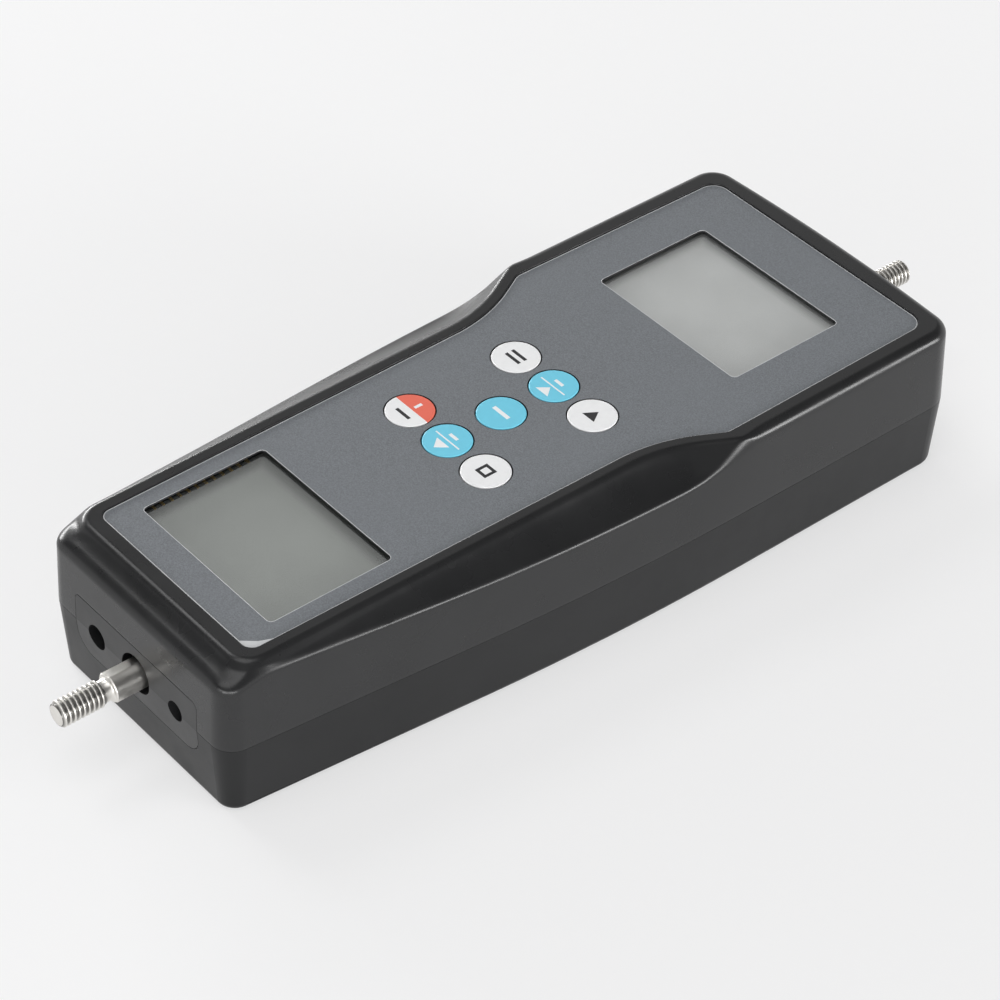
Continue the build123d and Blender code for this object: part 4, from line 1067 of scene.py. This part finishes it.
@dataclass
class Keypad:
    """Seven round caps flush with the panel, with plain printed marks."""

    radius: float = 5.5
    top_z: float = 38.0
    flange_radius: float = 6.1
    flange_bottom: float = 33.9
    flange_top: float = 34.9
    edge: float = 0.3
    print_height: float = 0.02
    print_depth: float = 0.12

    def cap(self, place: KeyPlace) -> bpy.types.Mesh:
        """Cap as rings round its middle: flange, wall, quarter-round edge and a flat top."""
        turn = np.linspace(0.0, math.pi / 2, 6)
        across = np.linspace(self.radius - self.edge, 0.02, 8)[1:]
        shoulder = self.top_z - self.edge
        radii = [self.flange_radius, self.flange_radius, self.radius, self.radius]
        radii += [*(self.radius - self.edge + self.edge * np.cos(turn)), *across]
        heights = [self.flange_bottom, self.flange_top, self.flange_top, shoulder]
        heights += [*(shoulder + self.edge * np.sin(turn)), *np.full(len(across), self.top_z)]
        centre = key_centre(place)
        return surface_mesh(place.name.lower(), stacked([circle(r, 96, centre) for r in radii], heights))

    def mark(self, outline: Array, place: KeyPlace) -> bpy.types.Mesh:
        """Printed mark: a flat outline given from the key's middle, just proud of the cap."""
        placed = outline + np.asarray(key_centre(place))
        return surface_mesh("mark", stacked([placed, placed], [self.top_z - self.print_depth,
                                                               self.top_z + self.print_height]))

    def marks(self, place: KeyPlace) -> dict[str, list[Array]]:
        """Outlines of a key's marks by their ink: bars, arrows and a square, all plain symbols."""
        def bar(width: float, depth: float, x: float = 0.0, y: float = 0.0) -> Array:
            """Rectangle with its middle at x, y."""
            return np.array([(-1, -1), (1, -1), (1, 1), (-1, 1)]) * (width / 2, depth / 2) + (x, y)

        up = np.array([(-2.0, -3.5), (2.0, -3.5), (0.0, -1.0)])
        down = np.array([(0.0, -3.8), (2.1, -1.2), (-2.1, -1.2)])
        dark = {
            KeyPlace.UPPER_LEFT: [bar(4.6, 0.8, 0.0, 0.9), bar(4.6, 0.8, 0.0, -0.9)],
            KeyPlace.UPPER_RIGHT: [np.array([(-1.9, -1.3), (1.9, -1.3), (0.0, 1.7)])],
            KeyPlace.LOWER_LEFT: [bar(4.4, 0.8, 0.0, -1.9)],
            KeyPlace.LOWER_RIGHT: [bar(3.4, 0.75, 0.0, 1.3), bar(3.4, 0.75, 0.0, -1.3),
                                   bar(0.75, 2.0, -1.33, 0.0), bar(0.75, 2.0, 1.33, 0.0)],
        }
        pale = {
            KeyPlace.UPPER_MIDDLE: [bar(7.8, 0.35, 0.0, -0.3), up, bar(2.6, 0.8, 0.0, 1.5)],
            KeyPlace.CENTRE: [bar(5.0, 1.0)],
            KeyPlace.LOWER_LEFT: [bar(0.8, 2.0, 0.0, 2.3)],
            KeyPlace.LOWER_MIDDLE: [bar(7.8, 0.35), down, bar(2.6, 0.8, 0.0, 1.7)],
        }
        return {"dark": dark.get(place, []), "pale": pale.get(place, [])}

    def build(self) -> None:
        """Make the caps in their colours and print their marks."""
        split = key_centre(KeyPlace.LOWER_LEFT)[1] + 0.4
        colours = {
            "key_white": SmoothKey("white_key", KEY_WHITE).material(),
            "key_blue": SmoothKey("blue_key", KEY_BLUE).material(),
            "key_red": SmoothKey("red_and_white_key", KEY_WHITE, KEY_RED, split).material(),
        }
        inks = {
            "dark": SmoothKey("dark_ink", DARK_INK).material(),
            "pale": SmoothKey("pale_ink", PALE_INK).material(),
        }
        for place in KeyPlace:
            name = place.name.lower()
            slot = "key_blue" if place.value[0] == 0 else "key_white"
            if place is KeyPlace.LOWER_LEFT:
                slot = "key_red"
            body = "key_body_" + name
            place_piece("cap_" + name, self.cap(place), colours[slot], body, ["key_" + name])
            for ink, outlines in self.marks(place).items():
                if outlines:
                    drawn = join_meshes("mark", [self.mark(outline, place) for outline in outlines])
                    place_piece(f"{ink}_mark_{name}", drawn, inks[ink], body)


@dataclass
class ThreadedBar:
    """Turned bar on the measuring axis: outer thread, relief neck, shank and inner thread."""

    name: str
    tip_y: float
    inner_y: float
    inner_shoulder: float
    outwards: int
    body: str
    radius: float = 3.0
    pitch: float = 1.15
    depth: float = 0.6
    thread_length: float = 10.8
    neck_length: float = 1.8
    neck_radius: float = 2.45
    shank_radius: float = 3.45
    half_flat: float = 2.95
    flat_angle: float = math.radians(68.0)
    chamfer: float = 0.6
    axis_z: float = 18.2
    steepness: float = 1.6
    run_out: float = 0.5
    root_fillet: float = 0.35
    shank_edge: float = 0.3
    inner_ease: float = 0.03
    tip_edge: float = 0.12
    points_round: int = 120
    sharp_over: float = 70.0

    def build(self, material: bpy.types.Material) -> None:
        """Make the bar.

        The radius is a function of the distance s from the tip and the angle a. On a thread it is the crest
        radius less the depth times (1 + tanh(k cos p) / tanh k) / 2, where p is 2 pi s / pitch + a and k is
        the steepness; a chamfer holds it under a cone at the tip. Plain stretches have their own radius, and
        the shank has two flats, where it is half_flat / |cos(a - flat_angle)|.
        """
        total = abs(self.inner_y - self.tip_y)
        shoulder = abs(self.inner_shoulder - self.tip_y)
        neck = self.thread_length
        shank = neck + self.neck_length
        tiny, edge, fillet = 0.001, self.shank_edge, self.root_fillet
        fine = np.arange(0.0, neck, 0.04)
        plain = np.array([neck, neck + tiny, shank - fillet, shank, shank + tiny, shank + edge,
                          shank + (edge + tiny), *np.arange(shank + 1.0, shoulder - 0.5, 0.8),
                          shoulder - tiny, shoulder])
        inner = np.arange(shoulder + tiny, total, 0.08)
        s = np.concatenate([fine, plain, inner, [total]])
        angle = np.linspace(0.0, 2 * math.pi, self.points_round, endpoint=False)
        phase = (s[:, None] / self.pitch + angle[None, :] / (2 * math.pi)) % 1.0
        wave = np.tanh(self.steepness * np.cos(2 * math.pi * phase)) / math.tanh(self.steepness)
        tooth = 0.5 - 0.5 * wave
        threaded = self.radius - self.depth * (1.0 - tooth)
        fading = np.clip((s[:, None] - (neck - self.run_out)) / self.run_out, 0.0, 1.0)
        threaded = threaded * (1 - fading) + self.neck_radius * fading
        r = np.minimum(threaded, self.radius - self.chamfer + s[:, None])
        necked = (s > neck) & (s <= shank)
        r[necked] = self.neck_radius + 0.25 * np.clip((s[necked] - shank + fillet) / fillet, 0, 1)[:, None]
        shanked = (s > shank) & (s < shoulder)
        flats = self.half_flat / np.maximum(np.abs(np.cos(angle - self.flat_angle)), 0.5)
        turned = self.shank_radius - edge + np.clip(s[shanked] - shank, 0.0, edge)
        r[shanked] = np.minimum(turned[:, None], flats[None, :])
        hidden = s >= shoulder
        r[hidden] = self.radius - self.inner_ease - self.depth * (1.0 - tooth[hidden])
        r[0] = self.radius - self.chamfer - self.tip_edge
        y = self.tip_y - self.outwards * s
        rings = np.stack([
            r * np.cos(angle)[None, :],
            np.broadcast_to(y[:, None], r.shape),
            self.axis_z + self.outwards * r * np.sin(angle)[None, :],
        ], axis=-1)
        place_piece(self.name + "_threaded", surface_mesh(self.name, rings), material, self.body,
                    [self.name], self.sharp_over)


@dataclass(frozen=True)
class Softbox:
    """Soft rectangular lamp that faces the instrument; sizes in metres."""

    name: str
    place: tuple[float, float, float]
    size: tuple[float, float]
    watts: float
    aim: tuple[float, float, float] = (0.0, 0.0, 0.02)

    def hang(self) -> None:
        """Put the lamp into the scene."""
        data = bpy.data.lights.new(self.name, "AREA")
        data.shape = "RECTANGLE"
        data.size, data.size_y = self.size
        data.energy = self.watts
        lamp = bpy.data.objects.new(self.name, data)
        way = Vector(self.aim) - Vector(self.place)
        lamp.matrix_world = Matrix.Translation(self.place) @ way.to_track_quat("-Z", "Y").to_matrix().to_4x4()
        bpy.context.scene.collection.objects.link(lamp)


SOFTBOXES = (
    Softbox("overhead_softbox", (0.1, -0.5, 1.6), (1.1, 1.1), 7.6),
    Softbox("far_softbox", (1.36, 0.78, 0.28), (0.8, 0.45), 15.5),
    Softbox("left_softbox", (-1.38, 0.08, 0.30), (0.9, 0.25), 13.0),
    Softbox("high_left_softbox", (-0.92, -0.16, 1.28), (0.5, 0.5), 3.2),
    Softbox("far_left_softbox", (-0.90, 0.90, 1.05), (0.9, 0.9), 1.2),
    Softbox("near_softbox", (1.05, -1.0, 0.19), (1.3, 0.13), 8.0),
    Softbox("front_softbox", (0.5, -1.4, 0.5), (1.0, 0.4), 4.0),
)


@dataclass
class Studio:
    """Pale floor, surroundings and the camera; sizes in metres."""

    azimuth: float = math.radians(49.50)
    elevation: float = math.radians(40.89)
    roll: float = math.radians(1.316)
    place: tuple[float, float, float] = (0.42597, -0.36744, 0.49809)
    lens: float = 121.27
    sensor_width: float = 36.0
    floor_size: float = 6.0
    floor_z: float = -0.0001
    floor_evenness: float = 0.6
    even_from: float = 0.35
    even_to: float = 1.1
    backdrop: float = 0.93
    ceiling: float = 0.15
    fade_from: float = 0.31
    fade_to: float = 0.46

    def build_camera(self) -> None:
        """Stand the camera where the photograph was taken, turned by azimuth, elevation and roll."""
        az, el, roll = self.azimuth, self.elevation, self.roll
        back = np.array([math.cos(el) * math.sin(az), -math.cos(el) * math.cos(az), math.sin(el)])
        level = np.array([math.cos(az), math.sin(az), 0.0])
        rise = np.array([-math.sin(el) * math.sin(az), math.sin(el) * math.cos(az), math.cos(el)])
        right = math.cos(roll) * level + math.sin(roll) * rise
        up = np.cross(back, right)
        camera = bpy.data.objects.new("camera", bpy.data.cameras.new("camera"))
        camera.data.lens = self.lens
        camera.data.sensor_width = self.sensor_width
        camera.data.clip_start = 0.01
        camera.data.clip_end = 50.0
        turned = Matrix(np.column_stack([right, up, back])).to_4x4()
        camera.matrix_world = Matrix.Translation(self.place) @ turned
        bpy.context.scene.collection.objects.link(camera)
        bpy.context.scene.camera = camera

    def build_floor(self) -> None:
        """Lay a wide pale floor that takes the shadow, and shows nothing of itself from below.

        Camera, gloss and clear sheets see a share of even white in it, which grows with the distance.
        """
        half = self.floor_size / 2
        corners = [(x * half, y * half, self.floor_z) for x, y in ((-1, -1), (1, -1), (1, 1), (-1, 1))]
        mesh = bpy.data.meshes.new("floor")
        mesh.from_pydata(corners, [], [(0, 1, 2, 3)])
        tree = NodeTree("floor_paper")
        fibre = tree.noise(300.0)
        colour = tree.blend(fibre, (0.905, 0.905, 0.91), (0.925, 0.925, 0.93))
        paper = tree.add("BsdfPrincipled", {"Base Color": colour, "Roughness": 0.9,
                                            "Specular IOR Level": 0.1})
        even = tree.add("Emission", {"Color": (0.94, 0.94, 0.942, 1.0), "Strength": 1.0})
        path = tree.add("LightPath").outputs
        seen = tree.math("MAXIMUM", path["Is Camera Ray"], path["Is Glossy Ray"])
        seen = tree.math("MAXIMUM", seen, path["Is Transmission Ray"])
        away = tree.add("VectorMath", {0: tree.place()}, operation="LENGTH").outputs["Value"]
        evenness = tree.add("MapRange", {"Value": away, "From Min": self.even_from, "From Max": self.even_to,
                                         "To Min": self.floor_evenness, "To Max": 1.0}).outputs["Result"]
        share = tree.math("MULTIPLY", seen, evenness)
        mixed = tree.add("MixShader", {0: share, 1: paper.outputs[0], 2: even.outputs[0]})
        under = tree.add("BsdfTransparent", {"Color": (1.0, 1.0, 1.0, 1.0)})
        back = tree.add("NewGeometry").outputs["Backfacing"]
        sided = tree.add("MixShader", {0: back, 1: mixed.outputs[0], 2: under.outputs[0]})
        mesh.materials.append(tree.finish(sided))
        floor = bpy.data.objects.new("floor", mesh)
        bpy.context.scene.collection.objects.link(floor)

    def build_world(self) -> None:
        """White backdrop that reaches a little over the table, and a dim room above it.

        The strength runs evenly from the backdrop's to the ceiling's as the height of the direction goes from
        fade_from to fade_to, which is a rise of 18 to 27 degrees.
        """
        tree = NodeTree("studio", world=True)
        height = tree.add("SeparateXYZ", {0: tree.add("TexCoord").outputs["Generated"]}).outputs["Z"]
        fade = tree.add("MapRange", {"Value": height, "From Min": self.fade_from, "From Max": self.fade_to,
                                     "To Min": self.backdrop, "To Max": self.ceiling})
        room = tree.add("Background", {"Color": (1.0, 1.0, 1.0, 1.0), "Strength": fade.outputs["Result"]})
        bpy.context.scene.world = tree.finish(room)

    def build(self) -> None:
        """Set up camera, floor, surroundings and lamps, at a plain level of light."""
        self.build_camera()
        self.build_floor()
        self.build_world()
        for softbox in SOFTBOXES:
            softbox.hang()
        bpy.context.scene.view_settings.view_transform = "Standard"


def dress_inner_pieces() -> None:
    """Give each remaining CAD node the finish of its slot in the record."""
    made: dict[str, bpy.types.Material] = {}
    done = {"lower_case", "upper_case", "panel_overlay", "upper_window", "lower_window",
            "measuring_rod", "hanging_stud"}
    for entry in frame["record"]["subparts"]:
        node, slot = entry["node"], entry["material_slot"]
        if node in done or slot.startswith("key_"):
            continue
        if slot not in made:
            made[slot] = PLAIN_FINISHES[slot].material()
        dress(node, made[slot])


def main() -> None:
    """Build the studio and dress the instrument, sub-assembly by sub-assembly."""
    logging.basicConfig(level=logging.INFO, format="%(name)s %(message)s")
    Studio().build()
    Housing().build()
    FrontPanel().build()
    Keypad().build()
    steel = PLAIN_FINISHES["rod_steel"].material()
    ThreadedBar("measuring_rod", -120.15, -70.75, -83.75, -1, Body.MEASURING.value).build(steel)
    ThreadedBar("hanging_stud", 120.15, 76.05, 92.55, 1, Body.INSTRUMENT.value).build(steel)
    dress_inner_pieces()


if __name__ == "__main__":
    main()
